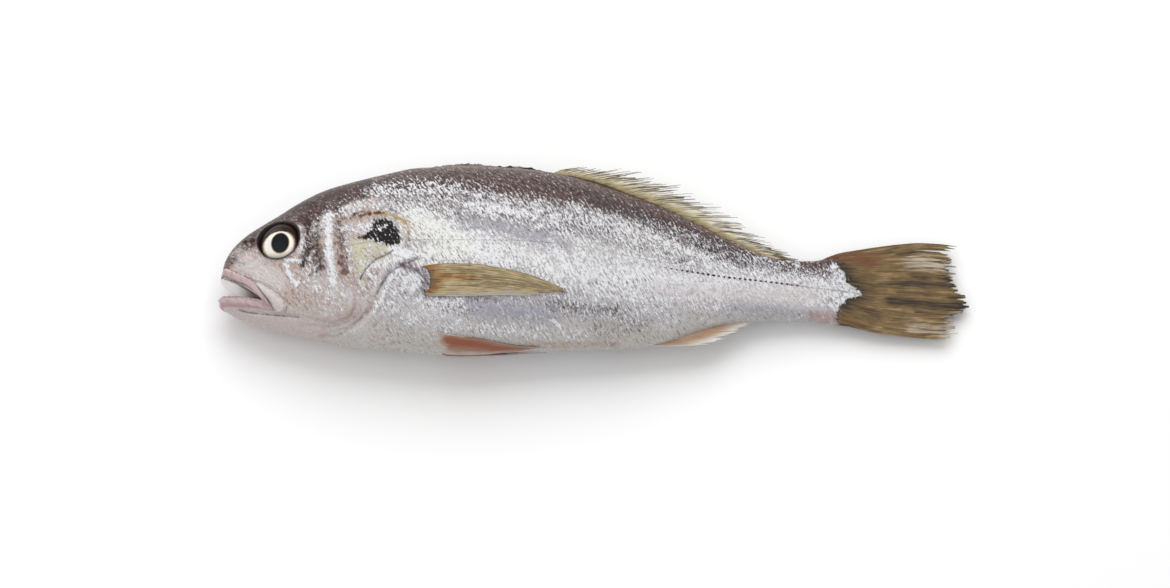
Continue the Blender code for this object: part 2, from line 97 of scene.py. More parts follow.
# Where the scales end at the tail, as (y, x)
SCALE_MARGIN = [(-18, 247), (-13, 247.5), (-9, 248.5), (-5, 253), (-3, 258.5), (-1.5, 257), (0.5, 253.5), (4, 251.5),
                (8, 249), (12, 247), (18, 245)]

# Scales as measured on the picture: 3.6 mm in a row, 3 mm between rows, each row half a scale on from the last
SCALE_LENGTH = 3.6
SCALE_ROW = 1.5
# The step at a scale's rear rim, and the distance between pores of the lateral line
SCALE_STEP = 0.13
PORE_SPACING = 2.1

# A lip's bar: points round it, points along it, and points of each flank's line
LIP_SIDES, LIP_STEPS, LIP_SAMPLES = 18, 110, 40

# Where the tail fin's rays start
TAIL_ROOT = 238

# How far down from the back the dark colour reaches, as a share of the body's depth, along x
DARK_DEPTH = [(0, 0.3), (12, 0.22), (30, 0.2), (44, 0.2), (60, 0.15), (100, 0.17), (140, 0.18), (180, 0.12),
              (215, 0.11), (240, 0.14), (BODY_END, 0.16)]

# Folds that are cut into the skin, with painted shade along them too
JAW_FOLD = [(8.8, -13.4), (12, -14.7), (17.4, -16.1), (23.1, -17.2), (32.6, -18.8)]
GILL_COVER_FOLD = [(70.2, 4.3), (67.5, 2.5), (63.5, 1), (60.4, -1.8), (58.6, -4), (57.3, -6.6)]
SNOUT_FOLD = [(14.6, 8.6), (17.5, 6.8), (20.3, 4.8), (22.3, 2.7), (23.2, 0.8)]

# Lines cut into the skin and lines raised on it: (line, width, depth or height)
GROOVES = [
    (JAW_FOLD, 0.55, 0.6),
    ([(9, -16), (16, -18.6), (26, -20.8), (36, -22.4)], 0.9, 0.3),
    (GILL_COVER_FOLD, 0.55, 0.55),
    ([(1.6, 4.9), (4, 3.3), (6.3, 0.9), (9.4, -1), (12.3, -2.4), (14.3, -3.9), (16, -6.1), (18.3, -9.2), (20.3, -11.6),
      (22.4, -15)], 0.5, 0.55),
    ([(14.3, -3.4), (18.5, -5.7), (22.3, -8.3), (25.2, -10.8), (27.6, -13.2), (30, -15.4)], 0.45, 0.4),
    ([(46.4, 18), (44.6, 8), (45.4, 0), (46.4, -8), (45.2, -15)], 0.8, 0.35),
    ([(36.4, 22), (36.6, 13), (36.8, 6)], 1.0, 0.35),
    ([(53.3, -4.7), (56.4, -10), (58.6, -13.5), (58.6, -16.8), (55.5, -20.6), (51, -22.5), (44, -23.3), (34, -21.5)],
     0.5, 0.5),
    ([(56.4, -4), (59.4, -9), (61, -13), (60.4, -17.4), (57, -21.4), (52, -23.9), (46, -24.6)], 0.45, 0.45),
    ([(60.5, -2), (62, -6), (63.4, -10.4)], 0.5, 0.35),
    (SNOUT_FOLD, 0.5, 0.35),
]
RIDGES = [
    ([(10.2, 9.6), (14.2, 7.9), (18.2, 5.6), (21, 3.2), (23, 0.6)], 1.0, 0.4),
    ([(27.2, 1.6), (28.3, -1.9), (30, -4.7), (31.7, -7.1)], 0.8, 0.6),
    ([(28.3, 3.4), (31.7, 2.7), (33.7, 1.6)], 0.7, 0.4),
    ([(48.8, 14), (49.6, 5), (51.2, -4), (53.4, -11), (54.6, -16)], 0.9, 0.4),
    ([(43.4, 20), (42.6, 10), (43.4, 2), (44, -8)], 1.2, 0.5),
    ([(36, 30), (44, 26), (52, 24.4), (60, 24.6), (68, 22.6)], 1.2, 0.4),
    ([(73.3, -3.5), (69.7, -6.9), (67.5, -10.4), (65.7, -14.9), (63, -19.3), (57, -24.4), (49, -27)], 1.1, 0.8),
    ([(76, -10), (71, -13), (67.4, -17.4), (62, -23), (55, -27)], 1.0, 0.35),
    ([(58.6, -8), (60.2, -13), (59.6, -17), (56, -21), (50, -23.4)], 0.7, 0.35),
    ([(83, -1.4), (86.5, -5), (87, -10)], 0.8, 0.3),
]
NOSTRILS = [((10.8, 14.6), 0.8), ((13.8, 14.4), 1.1)]

# Zones of colour and shine, some of them painted light and shade: each is a list of brush strokes, (strength, line,
# width)
ZONES = {
    # Silver flakes. The narrow strokes along the head's ridges and the small spots low on the flank, below the pectoral
    # fin, are painted highlights of wet shine.
    "silver": [
        (0.5, [(60, 33), (78, 33), (96, 31), (112, 27), (130, 21)], 6),
        (0.8, [(103, 24.4), (112, 22.8), (121, 20.4)], 3.0), (0.55, [(122, 20), (132, 17.6), (142, 14)], 3.0),
        (0.9, [(79, 19), (86, 14), (96, 9), (104, 6)], 10), (0.8, [(84, 4), (100, 3), (116, 1)], 6),
        (0.74, [(112, 6), (126, 2), (136, -4)], 7), (0.78, [(134, 9), (139, 1), (142, -5)], 4.0),
        (0.64, [(142, 20), (160, 16), (180, 11), (206, 5)], 9), (0.74, [(146, -2), (170, -4), (200, -4)], 10),
        (0.6, [(206, 6), (226, 4), (244, 0)], 8), (0.85, [(247, 7), (250, 2), (253, -3), (248, -9)], 3.0),
        (0.86, [(44.4, 22), (44.4, 12), (45, 2), (46.6, -8)], 2.0), (0.7, [(32.6, 17), (33.6, 10.5), (33, 6)], 1.5),
        (0.95, [(27.2, 1.2), (28.3, -1.9), (30, -4.7), (31.7, -7.1)], 1.1),
        (0.85, [(28.3, 3.2), (31.7, 2.6), (33.7, 1.6)], 1.0), (0.5, [(38, 14), (45, 21), (54, 25.6), (66, 26)], 4.4),
        (0.36, [(58, -10), (60, 0), (62, 8)], 6), (0.4, [(36, 8), (38, -2)], 4),
        (0.5, [(52, 12), (52.6, 2), (54, -6)], 2.2), (0.44, [(36, -3), (42, -9), (48, -14)], 5.0),
        (0.56, [(49, 15), (55, 15), (61, 15.6), (65, 15)], 2.8), (0.55, [(57, 13.6), (62, 14.2), (66, 13.6)], 2.0),
        (1.1, [(69.6, 4.4), (74, 2.8), (78, 2)], 2.0), (0.74, [(61, -2), (66, -0.8), (72, 0.6), (76, 1)], 2.0),
        (0.56, [(60.6, -4), (63, -8)], 2.4), (0.82, [(73.3, -3.6), (69.7, -7), (67.6, -10.6), (66, -14.9)], 1.6),
        (0.8, [(75, -5.4), (80, -8), (78, -11)], 3.6), (0.66, [(80, -14.4), (88, -16.4), (97, -16.6)], 3.6),
        (0.44, [(66, -17), (80, -21), (96, -24)], 5.5), (0.42, [(100, -24.4), (124, -25.6), (146, -25.6)], 2.8),
        (0.4, [(136, -12), (160, -15), (180, -15)], 8), (0.9, [(134, -21.6), (136, -23.2)], 1.2),
        (0.2, [(12, 6), (20, -2)], 5.0)],
    "cream": [
        (1.0, [(76, 17), (86, 13), (97, 9)], 8.5), (0.9, [(86, 5), (100, 2)], 6), (0.6, [(112, 6), (132, -2)], 6),
        (0.6, [(190, 10), (170, 14), (150, 8)], 7), (0.5, [(57, 5), (66, 2)], 4)],
    "pale": [
        (0.9, [(78, 16), (96, 8), (120, 4), (140, -2)], 9), (1.0, [(146, 8), (170, 2), (200, -2), (236, -6)], 9),
        (0.6, [(150, -12), (180, -12), (206, -9)], 6), (0.9, [(66, -1), (76, 2)], 3),
        (0.7, [(10, 4), (16, 0), (24, -6)], 5), (0.5, [(38, -6), (48, -14)], 6),
        (0.9, [(54, -14), (62, -18), (58, -24)], 5), (0.9, [(64, -12), (70, -8)], 4),
        (0.8, [(72, -16), (84, -20), (98, -22)], 5), (1.2, [(16.6, -6), (21, -9.9), (25.2, -14.6)], 2.2),
        (0.7, [(14, -15.5), (26, -19), (40, -22), (54, -22)], 2.4)],
    "band": [
        (0.95, [(99, 15.4), (108, 15.6), (116, 14.4), (126, 12), (137, 8)], 3.4),
        (1.0, [(102, -18), (112, -18.6), (124, -19.4), (133, -19.6)], 3.8), (0.5, [(144, 15), (158, 9)], 3),
        (0.7, [(204, -13), (226, -12), (246, -12.6)], 2.8), (0.5, [(75, -5), (79, -8), (79, -11)], 2.6),
        (0.35, [(4, 8), (10, 5)], 3)],
    "smooth": [
        (0.9, [(8, 10), (14, 4), (20, -1), (24, -5)], 4.6), (0.9, [(3, -11), (12, -16), (26, -20), (40, -23)], 3.6),
        (1.1, [(16.6, -6.4), (21, -10.2), (25, -14.4)], 1.7),
        (0.7, [(176, -7), (196, -7), (216, -6), (238, -5)], 4.2)],
    "deep": [
        (0.72, [(36, 22), (38, 10), (40, -1)], 4.8), (0.62, [(48, 24), (49.6, 12), (51, -3)], 3.2),
        (0.6, [(62, 38), (84, 41), (110, 41), (134, 36)], 3.8),
        (0.8, [(134, 35.4), (156, 31.6), (176, 24.4), (196, 15.6), (212, 9)], 3.0),
        (1.2, [(24, 27), (36, 30), (46, 34), (58, 37)], 5.6), (0.95, [(10, 16.6), (16, 20.4), (22, 24.6)], 2.6),
        (0.8, [(2.6, 9), (6, 13.6), (10, 16.6)], 2.2), (1.0, [(33.6, 21.5), (36.6, 17), (36.4, 8), (34.4, 1)], 2.0),
        (0.8, [(40.4, 24), (40.2, 14), (40, 4)], 1.6), (0.7, [(46, 29), (52, 31), (58, 30)], 2.6),
        (0.6, [(54, 20.4), (60, 22.6)], 1.5), (0.45, [(35, -2), (36, -7)], 1.8),
        (0.5, [(48, 14), (48.6, 4), (49.2, -4)], 1.2)],
    "speckled": [
        (0.9, [(150, 30), (170, 22), (192, 13), (210, 7)], 5), (0.5, [(140, 18), (164, 12), (190, 4)], 7),
        (0.6, [(134, -16), (150, -17.4), (162, -17)], 3.6), (0.5, [(98, -14.4), (112, -14.8)], 1.6),
        (0.4, [(92, -17), (100, -20)], 3), (0.45, [(150, -24), (170, -22)], 4),
        (0.75, [(206, 8), (226, 5.5), (244, 5)], 4)],
    "pink": [
        (0.5, [(34, -19.4), (44, -21.2), (51, -20.8), (55, -17.6), (55.6, -12), (54.4, -6)], 1.4),
        (0.35, [(40, -10), (46, -15), (50, -18)], 3.6), (0.8, [(50.2, 2), (51, -1.9), (51.4, -4.6)], 0.9),
        (0.4, [(56, -12), (57, -17), (53, -21.4), (44, -22.4), (32, -20.4)], 1.8),
        (0.7, [(238, -13), (248, -14), (256, -14.6)], 2.6), (0.35, [(230, -1.4), (244, -7), (250, -9)], 2.4),
        (0.45, [(3, 4.8), (8, 1), (13, -2)], 1.6), (0.6, [(4, -13), (14, -17), (26, -20), (42, -23.4)], 3.0),
        (0.5, [(56, -22), (64, -16)], 3), (0.4, [(122, -29.6), (138, -29), (160, -28.2)], 1.2),
        (0.3, [(60, -10), (63, -15), (60, -20)], 1.8), (0.4, [(18, -8), (24, -14)], 2.4)],
    "amber": [
        (0.95, [(62.6, 21), (66.9, 20.4), (70.7, 19.1), (74.5, 17.4), (76.4, 15.3)], 1.8),
        (0.6, [(75.6, 13), (76.4, 8)], 1.6), (0.3, [(122, -29.4), (136, -29.2), (146, -28.8)], 0.9)],
    "rust": [
        (1.0, [(56, 20), (60, 20.4), (63, 21), (66, 20.6)], 0.9), (0.55, [(85.4, -3), (86, -6.4), (85, -10.6)], 1.0)],
    "moss": [
        (1.0, [(56, 7), (58, 3), (58, -2)], 3.2), (0.9, [(59, 7), (65, 5.2), (69, 4.4)], 2.4),
        (0.6, [(61.6, -0.6), (65, 0.8), (68.6, 1.6)], 1.8), (0.5, [(57, -5), (58.4, -8)], 1.8),
        (0.9, [(78, -0.4), (80.6, 0.6), (83, -0.6)], 1.0)],
    # Purple over the snout, and painted shade round the rear of the shoulder where the pectoral fin starts
    "purple_and_shoulder_shade": [
        (0.95, [(74.4, -2), (79.5, -3.4), (83, -5), (84.2, -8), (83.4, -11.6)], 2.5),
        (0.5, [(60.4, -6.6), (62, -7.6)], 0.9), (0.45, [(3, 9), (6, 7), (10, 4.4)], 1.9)],
    # Painted shade in folds, pits and gaps: along the gill cover's edges, in the jaw and snout folds, in the nostrils
    # and in a pit on the belly
    "fold_shade": [
        (1.0, GILL_COVER_FOLD, 0.5),
        (0.9, [(79.8, 1.2), (75, -1.2), (71.5, -3), (68.4, -5.2), (65.7, -9), (64, -12.4)], 0.6),
        (0.5, [(62.6, -16), (59.9, -19.4), (55, -23.4), (48, -25.8), (40, -25)], 0.5), (0.95, JAW_FOLD, 0.42),
        (1.0, [(1.2, 5), (4, 3.4), (6.3, 1.1), (9.4, -0.9), (12.3, -2.3)], 0.55),
        (0.45, [(12.3, -2.3), (14.3, -3.8), (16, -6), (18.3, -9.1), (20.3, -11.6), (22.4, -15)], 0.45),
        (0.45, [(14.3, -3.2), (18.5, -5.5), (22.3, -8.1), (25.2, -10.6), (27.4, -13), (30, -15.2)], 0.3),
        (0.8, [(27.9, -15), (27.4, -17)], 0.5), (0.7, [(76.2, 13), (76.8, 8), (76.4, 5)], 0.7),
        (0.5, SNOUT_FOLD, 0.4),
        (0.45, [(53.3, -4.7), (56.4, -10), (58.6, -13.5), (58.6, -16.8), (55.5, -20.6), (51, -22.5)], 0.4),
        (0.35, [(56.4, -4), (59.4, -9), (61, -13), (60.4, -17.4), (57, -21.4), (52, -23.9)], 0.4),
        (0.7, [(157.4, -28.3), (158.4, -28.2)], 0.5), (2.4, [(10.2, 14.9), (11.2, 14.3)], 0.8),
        (2.4, [(13.2, 14.8), (14.6, 14)], 0.9)],
    "thread": [
        (0.55, [(226, -0.9), (236.6, -1.9), (252.6, -2.5), (259, -2.9)], 0.32)],
}


def linear(code):
    """An sRGB hex colour as the linear RGBA that a shader takes."""
    parts = [int(code[i:i + 2], 16) / 255 for i in (1, 3, 5)]
    return [p / 12.92 if p <= 0.04045 else ((p + 0.055) / 1.055) ** 2.4 for p in parts] + [1.0]


def through(knots):
    """A smooth function through (place, value) knots that never overshoots between two of them."""
    place, level = (np.array(column, float) for column in zip(*knots))
    run = np.diff(place)
    rise = np.diff(level) / run
    before, after = rise[:-1], rise[1:]
    total = np.where(np.abs(before + after) < 1e-9, 1.0, before + after)
    inner = np.where(before * after > 0, 2 * before * after / total, 0.0)
    slope = np.concatenate([rise[:1], inner, rise[-1:]])

    def value(at):
        at = np.clip(np.asarray(at, float), place[0], place[-1])
        i = np.clip(np.searchsorted(place, at, side="right") - 1, 0, len(run) - 1)
        t = (at - place[i]) / run[i]
        return ((2 * t**3 - 3 * t**2 + 1) * level[i] + (t**3 - 2 * t**2 + t) * run[i] * slope[i]
                + (3 * t**2 - 2 * t**3) * level[i + 1] + (t**3 - t**2) * run[i] * slope[i + 1])

    return value


back = through(BACK)
belly = through(BELLY)
half_width = through(HALF_WIDTH)
spine = through(SPINE_HEIGHT)


def ease(low, high, at):
    """0 where at is low, 1 where it is high, eased at both ends."""
    share = np.clip((np.asarray(at, float) - low) / (high - low), 0.0, 1.0)
    return share * share * (3 - 2 * share)


def reaches(x):
    """The height of the body's widest line at x, and how far from it the back and the belly lie."""
    low, high = belly(x), back(x)
    middle = low + WIDEST_AT * (high - low)
    return middle, high - middle, middle - low


def height_share(x, y):
    """How high y lies at x: 0 on the body's widest line, 1 on the back, -1 on the belly."""
    middle, up, down = reaches(x)
    return (y - middle) / np.where(y > middle, up, down)


def skin(x, turn, lift=0.0):
    """Points on the body at x, turned in degrees from the back (0) over the left flank (90) to the belly."""
    middle, up, down = reaches(x)
    angle = np.radians(turn)
    y = middle + (np.where(np.cos(angle) > 0, up, down) + lift) * np.cos(angle)
    z = spine(x) + (half_width(x) + lift) * np.sin(angle)
    return np.stack(np.broadcast_arrays(x, y, z), axis=-1)


def turn_at(x, y):
    """How far round the left flank the height y lies, in degrees from the back."""
    return np.degrees(np.arccos(np.clip(height_share(x, y), -1.0, 1.0)))


def on_flank(x, y, side=1, lift=0.0):
    """Points at (x, y) of the left flank (side 1) or of the right one (side -1)."""
    turn = turn_at(x, y)
    return skin(x, turn if side > 0 else 360 - turn, lift)


def placed(points):
    """Points of the fish in metres, in the frame's own place."""
    return (np.asarray(points, float) - MIDDLE) * MM


def unit(vectors):
    """Vectors made one long."""
    return vectors / np.maximum(np.linalg.norm(vectors, axis=-1, keepdims=True), 1e-9)


def lengths_along(line):
    """The distance from a line's first point to each of its points, along the line."""
    return np.concatenate([[0], np.cumsum(np.linalg.norm(np.diff(line, axis=0), axis=1))])


def distance_to(line, x, y):
    """How far (x, y) lies from a line of points."""
    best = np.full(np.shape(x), 1e9)
    for (ax, ay), (bx, by) in zip(line, line[1:]):
        t = np.clip(((x - ax) * (bx - ax) + (y - ay) * (by - ay)) / ((bx - ax)**2 + (by - ay)**2), 0, 1)
        best = np.minimum(best, np.hypot(x - ax - t * (bx - ax), y - ay - t * (by - ay)))
    return best


def smooth_outline(points, steps=4):
    """A closed outline rounded between its points."""
    points = np.asarray(points, float)
    count = len(points)
    rounded = []
    for i in range(count):
        a, b, c, d = (points[(i + k) % count] for k in (-1, 0, 1, 2))
        for t in np.arange(steps) / steps:
            rounded.append(0.5 * (2 * b + (c - a) * t + (2 * a - 5 * b + 4 * c - d) * t**2
                                  + (3 * b - a - 3 * c + d) * t**3))
    return np.array(rounded)


def depth_inside(outline, x, y):
    """Distance in from a closed outline, negative outside it."""
    loop = smooth_outline(outline)
    gap = distance_to(np.vstack([loop, loop[:1]]), x, y)
    inside = np.zeros(np.shape(x), bool)
    for (ax, ay), (bx, by) in zip(loop, np.roll(loop, -1, axis=0)):
        crosses = (ay > y) != (by > y)
        inside ^= crosses & (x < ax + (y - ay) * (bx - ax) / (by - ay if by != ay else 1e-9))
    return np.where(inside, gap, -gap)


def stroke(line, width, x, y):
    """A soft brush stroke along a line: 1 on it, fading over the width."""
    return np.exp(-(distance_to(line, x, y) / width)**2)


def speckle(points, size, seed=0.0):
    """Smooth noise from -1 to 1 over points in millimetres, its lumps about size across."""
    shift = Vector((seed * 17.3, seed * 5.1, seed * 9.7))
    return np.array([noise.noise(Vector(p) / size + shift) for p in points])


# ---- Relief of the skin ----

def scale_relief(u, v):
    """Height 0 to 1 over overlapping scales: each rises to its round rear rim and drops to the next."""
    height = np.zeros(np.shape(u))
    found = np.zeros(np.shape(u), bool)
    column = np.floor(u / (SCALE_LENGTH / 2))
    for back_by in (2, 1, 0):
        which = column - back_by
        centre_u = which * SCALE_LENGTH / 2
        shift = np.where(which % 2 == 0, 0.0, SCALE_ROW)
        centre_v = np.round((v - shift) / (2 * SCALE_ROW)) * 2 * SCALE_ROW + shift
        du, dv = u - centre_u, v - centre_v
        rim = SCALE_LENGTH * 0.98 * np.sqrt(np.clip(1 - (dv / (SCALE_ROW * 1.12))**2, 0, 1))
        hit = (du < rim) & (np.abs(dv) < SCALE_ROW * 1.1) & ~found
        height = np.where(hit, np.clip(du / SCALE_LENGTH, 0, 1), height)
        found |= hit
    return height


def head_relief(x, y):
    """How far the bones, folds and pits of the head stand off the plain body, in millimetres."""
    plates = [
        (GILL_COVER, np.maximum(0, -0.7 + 2.2 * ease(40, 72, x)), 0.8),
        (CHEEK, np.maximum(0, -0.8 + 2.5 * ease(25, 54, x)), 0.9),
        (UPPER_JAW_BONE, 0.3 + 1.2 * ease(13, 22, x), 0.7),
    ]
    lift = np.zeros(x.shape)
    for outline, rise, edge in plates:
        lift = np.maximum(lift, rise * ease(0, edge, depth_inside(outline, x, y)))
    lean = math.radians(SHOULDER_LEAN)
    ax, ay = x - SHOULDER_AT[0], y - SHOULDER_AT[1]
    a = ax * math.cos(lean) + ay * math.sin(lean)
    b = ay * math.cos(lean) - ax * math.sin(lean)
    dome = 1 - (a / SHOULDER_RADII[0])**2 - (b / SHOULDER_RADII[1])**2
    lift = np.maximum(lift, SHOULDER_RADII[2] * np.sqrt(np.clip(dome, 0, 1)) - SHOULDER_SUNK)
    for line, width, depth in GROOVES:
        lift -= depth * stroke(line, width, x, y)
    for line, width, height in RIDGES:
        lift += height * stroke(line, width, x, y)
    eye = np.hypot(x - EYE_AT[0], y - EYE_AT[1])
    lift = lift * ease(8.0, 10.5, eye) + 0.75 * np.exp(-((eye - 8.5) / 0.8)**2) - 3.4 * (1 - ease(7.3, 8.2, eye))
    for (nx, ny), radius in NOSTRILS:
        pit = np.hypot(x - nx, y - ny)
        lift += 0.25 * np.exp(-((pit - radius * 1.3) / 0.5)**2) - 1.3 * (1 - ease(radius * 0.6, radius * 1.1, pit))
    return lift


def body_grid(stations, left_cells, right_cells):
    """Rings of the skin at each station, with points evenly spaced round it: (x, turn) arrays, ring by ring."""
    fine = np.linspace(0, 180, 400)
    turns = []
    for x in stations:
        ring = skin(np.full(fine.shape, x), fine)
        arc = lengths_along(ring)
        left = np.interp(np.linspace(0, arc[-1], left_cells + 1)[:-1], arc, fine)
        right = 360 - np.interp(np.linspace(arc[-1], 0, right_cells + 1)[:-1], arc, fine)
        turns.append(np.concatenate([left, right]))
    turns = np.array(turns)
    return np.repeat(stations[:, None], turns.shape[1], axis=1), turns


def grid_faces(rings, sides):
    """Quads between rings of sides points each, closed round, with a cap at both ends."""
    a = np.arange((rings - 1) * sides).reshape(rings - 1, sides)
    b = np.roll(a, -1, axis=1)
    quads = np.stack([a, b, b + sides, a + sides], axis=-1).reshape(-1, 4)
    caps = [tuple(range(sides)), tuple(range((rings - 1) * sides, rings * sides))]
    return [tuple(q) for q in quads.tolist()] + caps


def face_outward(mesh):
    """Turns all faces of a closed mesh outward."""
    shape = bmesh.new()
    shape.from_mesh(mesh)
    bmesh.ops.recalc_face_normals(shape, faces=shape.faces)
    shape.to_mesh(mesh)
    shape.free()


def put_in_scene(name, data):
    """An object of the scene that holds a mesh, a lamp or a camera."""
    made = bpy.data.objects.new(name, data)
    bpy.context.scene.collection.objects.link(made)
    return made


def make_piece(name, points, faces, material, replaces=(), smooth=True):
    """A mesh piece from points in fish millimetres, riding on the frame."""
    mesh = bpy.data.meshes.new(name)
    mesh.from_pydata(placed(points).tolist(), [], faces)
    face_outward(mesh)
    if smooth:
        mesh.shade_smooth()
    mesh.materials.append(material)
    piece = put_in_scene(name, mesh)
    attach(piece, "root")
    if replaces:
        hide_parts(*replaces)
    return piece


def set_values(piece, name, values):
    """Stores one number, or three, for each point of a piece under a name that its material reads."""
    values = np.asarray(values, np.float32)
    kind = "FLOAT" if values.ndim == 1 else "FLOAT_VECTOR"
    held = piece.data.attributes.new(name, kind, "POINT")
    held.data.foreach_set("value" if values.ndim == 1 else "vector", values.ravel())


def points_of(piece):
    """A piece's points, back in fish millimetres."""
    flat = np.empty(len(piece.data.vertices) * 3)
    piece.data.vertices.foreach_get("co", flat)
    return flat.reshape(-1, 3) / MM + MIDDLE


def skin_relief(x, turn, points):
    """The whole relief of the skin: head, scales and the soft unevenness of flesh."""
    scaled = ease(34, 60, x) * (0.35 + 0.65 * ease(62, 84, x)) * (1 - ease(246, 252, x))
    lift = SCALE_STEP * scaled * (scale_relief(x, flank_arc(x, turn)) - 0.4)
    head = x < 96
    lift[head] += head_relief(x[head], points[head, 1])
    lift += 0.16 * speckle(points, 9.0) + 0.05 * speckle(points, 2.6, 1)
    ends = ease(0, 4, x) * (1 - ease(252, BODY_END, x))
    return lift * ends


def flank_arc(x, turn):
    """Distance round the body from its widest line, in millimetres, positive towards the back, on both flanks."""
    half = np.where(turn > 180, 360 - turn, turn)
    fine = np.radians(np.linspace(0, 90, 91))
    table_x = np.linspace(0, BODY_END, 132)
    tall = 0.5 * (back(table_x) - belly(table_x))[:, None]
    arcs = np.cumsum(np.hypot(tall * np.cos(fine), half_width(table_x)[:, None] * np.sin(fine)), axis=1) * fine[1]
    i = np.clip(x / table_x[1], 0, len(table_x) - 1.001)
    i0 = i.astype(int)
    j = np.clip(np.abs(90 - half), 0, 89.99)
    j0 = j.astype(int)
    fi, fj = i - i0, j - j0
    arc = ((arcs[i0, j0] * (1 - fi) + arcs[i0 + 1, j0] * fi) * (1 - fj)
           + (arcs[i0, j0 + 1] * (1 - fi) + arcs[i0 + 1, j0 + 1] * fi) * fj)
    return arc * np.sign(90 - half)


def paint_skin(piece):
    """Stores the skin's zones on its points: where it is dark, silver, pink, yellow or sooty, and where shade is
    painted into its folds and behind the shoulder.
    """
    points = points_of(piece)
    x, y, z = points.T
    x = np.clip(x, 0, BODY_END)
    low, high = belly(x), back(x)
    turn = np.degrees(np.arctan2((z - spine(x)) / half_width(x), height_share(x, y))) % 360
    set_values(piece, "skin_mm", np.stack([x, flank_arc(x, turn), np.zeros(len(x))], axis=1))
    down = np.clip((high - y) / np.maximum(high - low, 1), 0, 1)
    edge = through(DARK_DEPTH)(x)
    levels = {}
    for name, strokes in ZONES.items():
        level = np.zeros(len(x))
        for strength, line, width in strokes:
            near = np.ones(len(x), bool)
            ends = np.array(line)
            for along, at in ((0, x), (1, y)):
                near &= (at > ends[:, along].min() - 3 * width) & (at < ends[:, along].max() + 3 * width)
            level[near] = np.maximum(level[near], strength * stroke(line, width, x[near], y[near]))
        levels[name] = level
    on_body = ease(56, 76, x)
    soot = ease(-1.2, 1.4, depth_inside(BLOTCH, x, y))
    everywhere = ease(edge * (1.3 - 0.7 * on_body), edge * 1.9, down) * (1 - ease(0.7, 0.92, down))
    everywhere *= 0.1 + 0.46 * on_body
    everywhere *= 1 - 0.75 * levels["band"]
    levels["silver"] = np.maximum(levels["silver"] * (1 - 0.35 * levels["band"]), everywhere * (1 - soot))
    levels["dark"] = 1 - ease(edge * 0.75, edge * 1.7, down)
    levels["upper"] = (1 - ease(edge * 1.2, edge * 3.4, down)) * on_body
    levels["under"] = ease(0.74, 0.97, down)
    levels["head"] = 1 - ease(58, 80, x)
    levels["body"] = on_body
    levels["soot"] = soot
    levels["pore_line"] = distance_to(PORE_LINE, x, y)
    levels["eye_ring"] = np.hypot(x - EYE_AT[0], (y - EYE_AT[1] - 0.5) * 0.96)
    levels["fin_root"] = x - through(SCALE_MARGIN)(y)
    for name, level in levels.items():
        set_values(piece, name, level)


def set_inputs(tree, node, inputs):
    """Gives a node its inputs: what another node makes is linked, and a plain value is set on the socket itself."""
    for key, value in inputs.items():
        if isinstance(value, bpy.types.NodeSocket):
            tree.links.new(value, node.inputs[key])
        else:
            node.inputs[key].default_value = value


def add(tree, kind, inputs=None, out=None, **settings):
    """One shader node with its settings, its input values and its links, or that node's output named by out."""
    made = tree.nodes.new("ShaderNode" + kind)
    for key, value in settings.items():
        setattr(made, key, value)
    set_inputs(tree, made, inputs or {})
    return made if out is None else made.outputs[out]


def new_material(name):
    made = bpy.data.materials.new(name)
    made.use_nodes = True
    return made, made.node_tree, made.node_tree.nodes["Principled BSDF"]


def patterns_on(tree, place, table):
    """Noise patterns, each about -1 to 1 wide: (name, long mm, short mm, lean in degrees, detail, roughness)."""
    found = {}
    for name, long, short, lean, detail, rough in table:
        turned = add(tree, "Mapping", {"Vector": place, "Rotation": (0, 0, math.radians(lean)),
                                       "Scale": (long, short, 1)}, 0, vector_type="TEXTURE")
        raw = add(tree, "TexNoise", {"Vector": turned, "Scale": 1.0, "Detail": detail, "Roughness": rough}, "Fac")
        found[name] = add(tree, "MapRange", {"Value": raw, "From Min": 0.3, "From Max": 0.7, "To Min": -1.0}, 0,
                          clamp=False)
    return found


def weighted(tree, held, weights):
    """The sum of patterns and zones, each times its weight."""
    total = 0.0
    for name, weight in weights.items():
        total = add(tree, "Math", {0: held[name], 1: weight, 2: total}, 0, operation="MULTIPLY_ADD")
    return total


def paint_over(tree, colour, held, layers):
    """Lays colours over one another, from a first colour that is plain or a node's. A layer is its hex colour, the
    zone that it stays in or None, the weights of the patterns and zones that place it, and the sums of those at
    which it starts and at which it covers whole."""
    for code, zone, weights, start, whole in layers:
        amount = add(tree, "MapRange", {"Value": weighted(tree, held, weights), "From Min": start,
                                        "From Max": whole}, 0)
        if zone:
            inside = add(tree, "MapRange", {"Value": held[zone], "From Min": 0.02, "From Max": 0.3}, 0)
            amount = add(tree, "Math", {0: amount, 1: inside}, 0, operation="MULTIPLY")
        colour = add(tree, "Mix", {0: amount, 6: colour, 7: linear(code)}, 2, data_type="RGBA")
    return colour


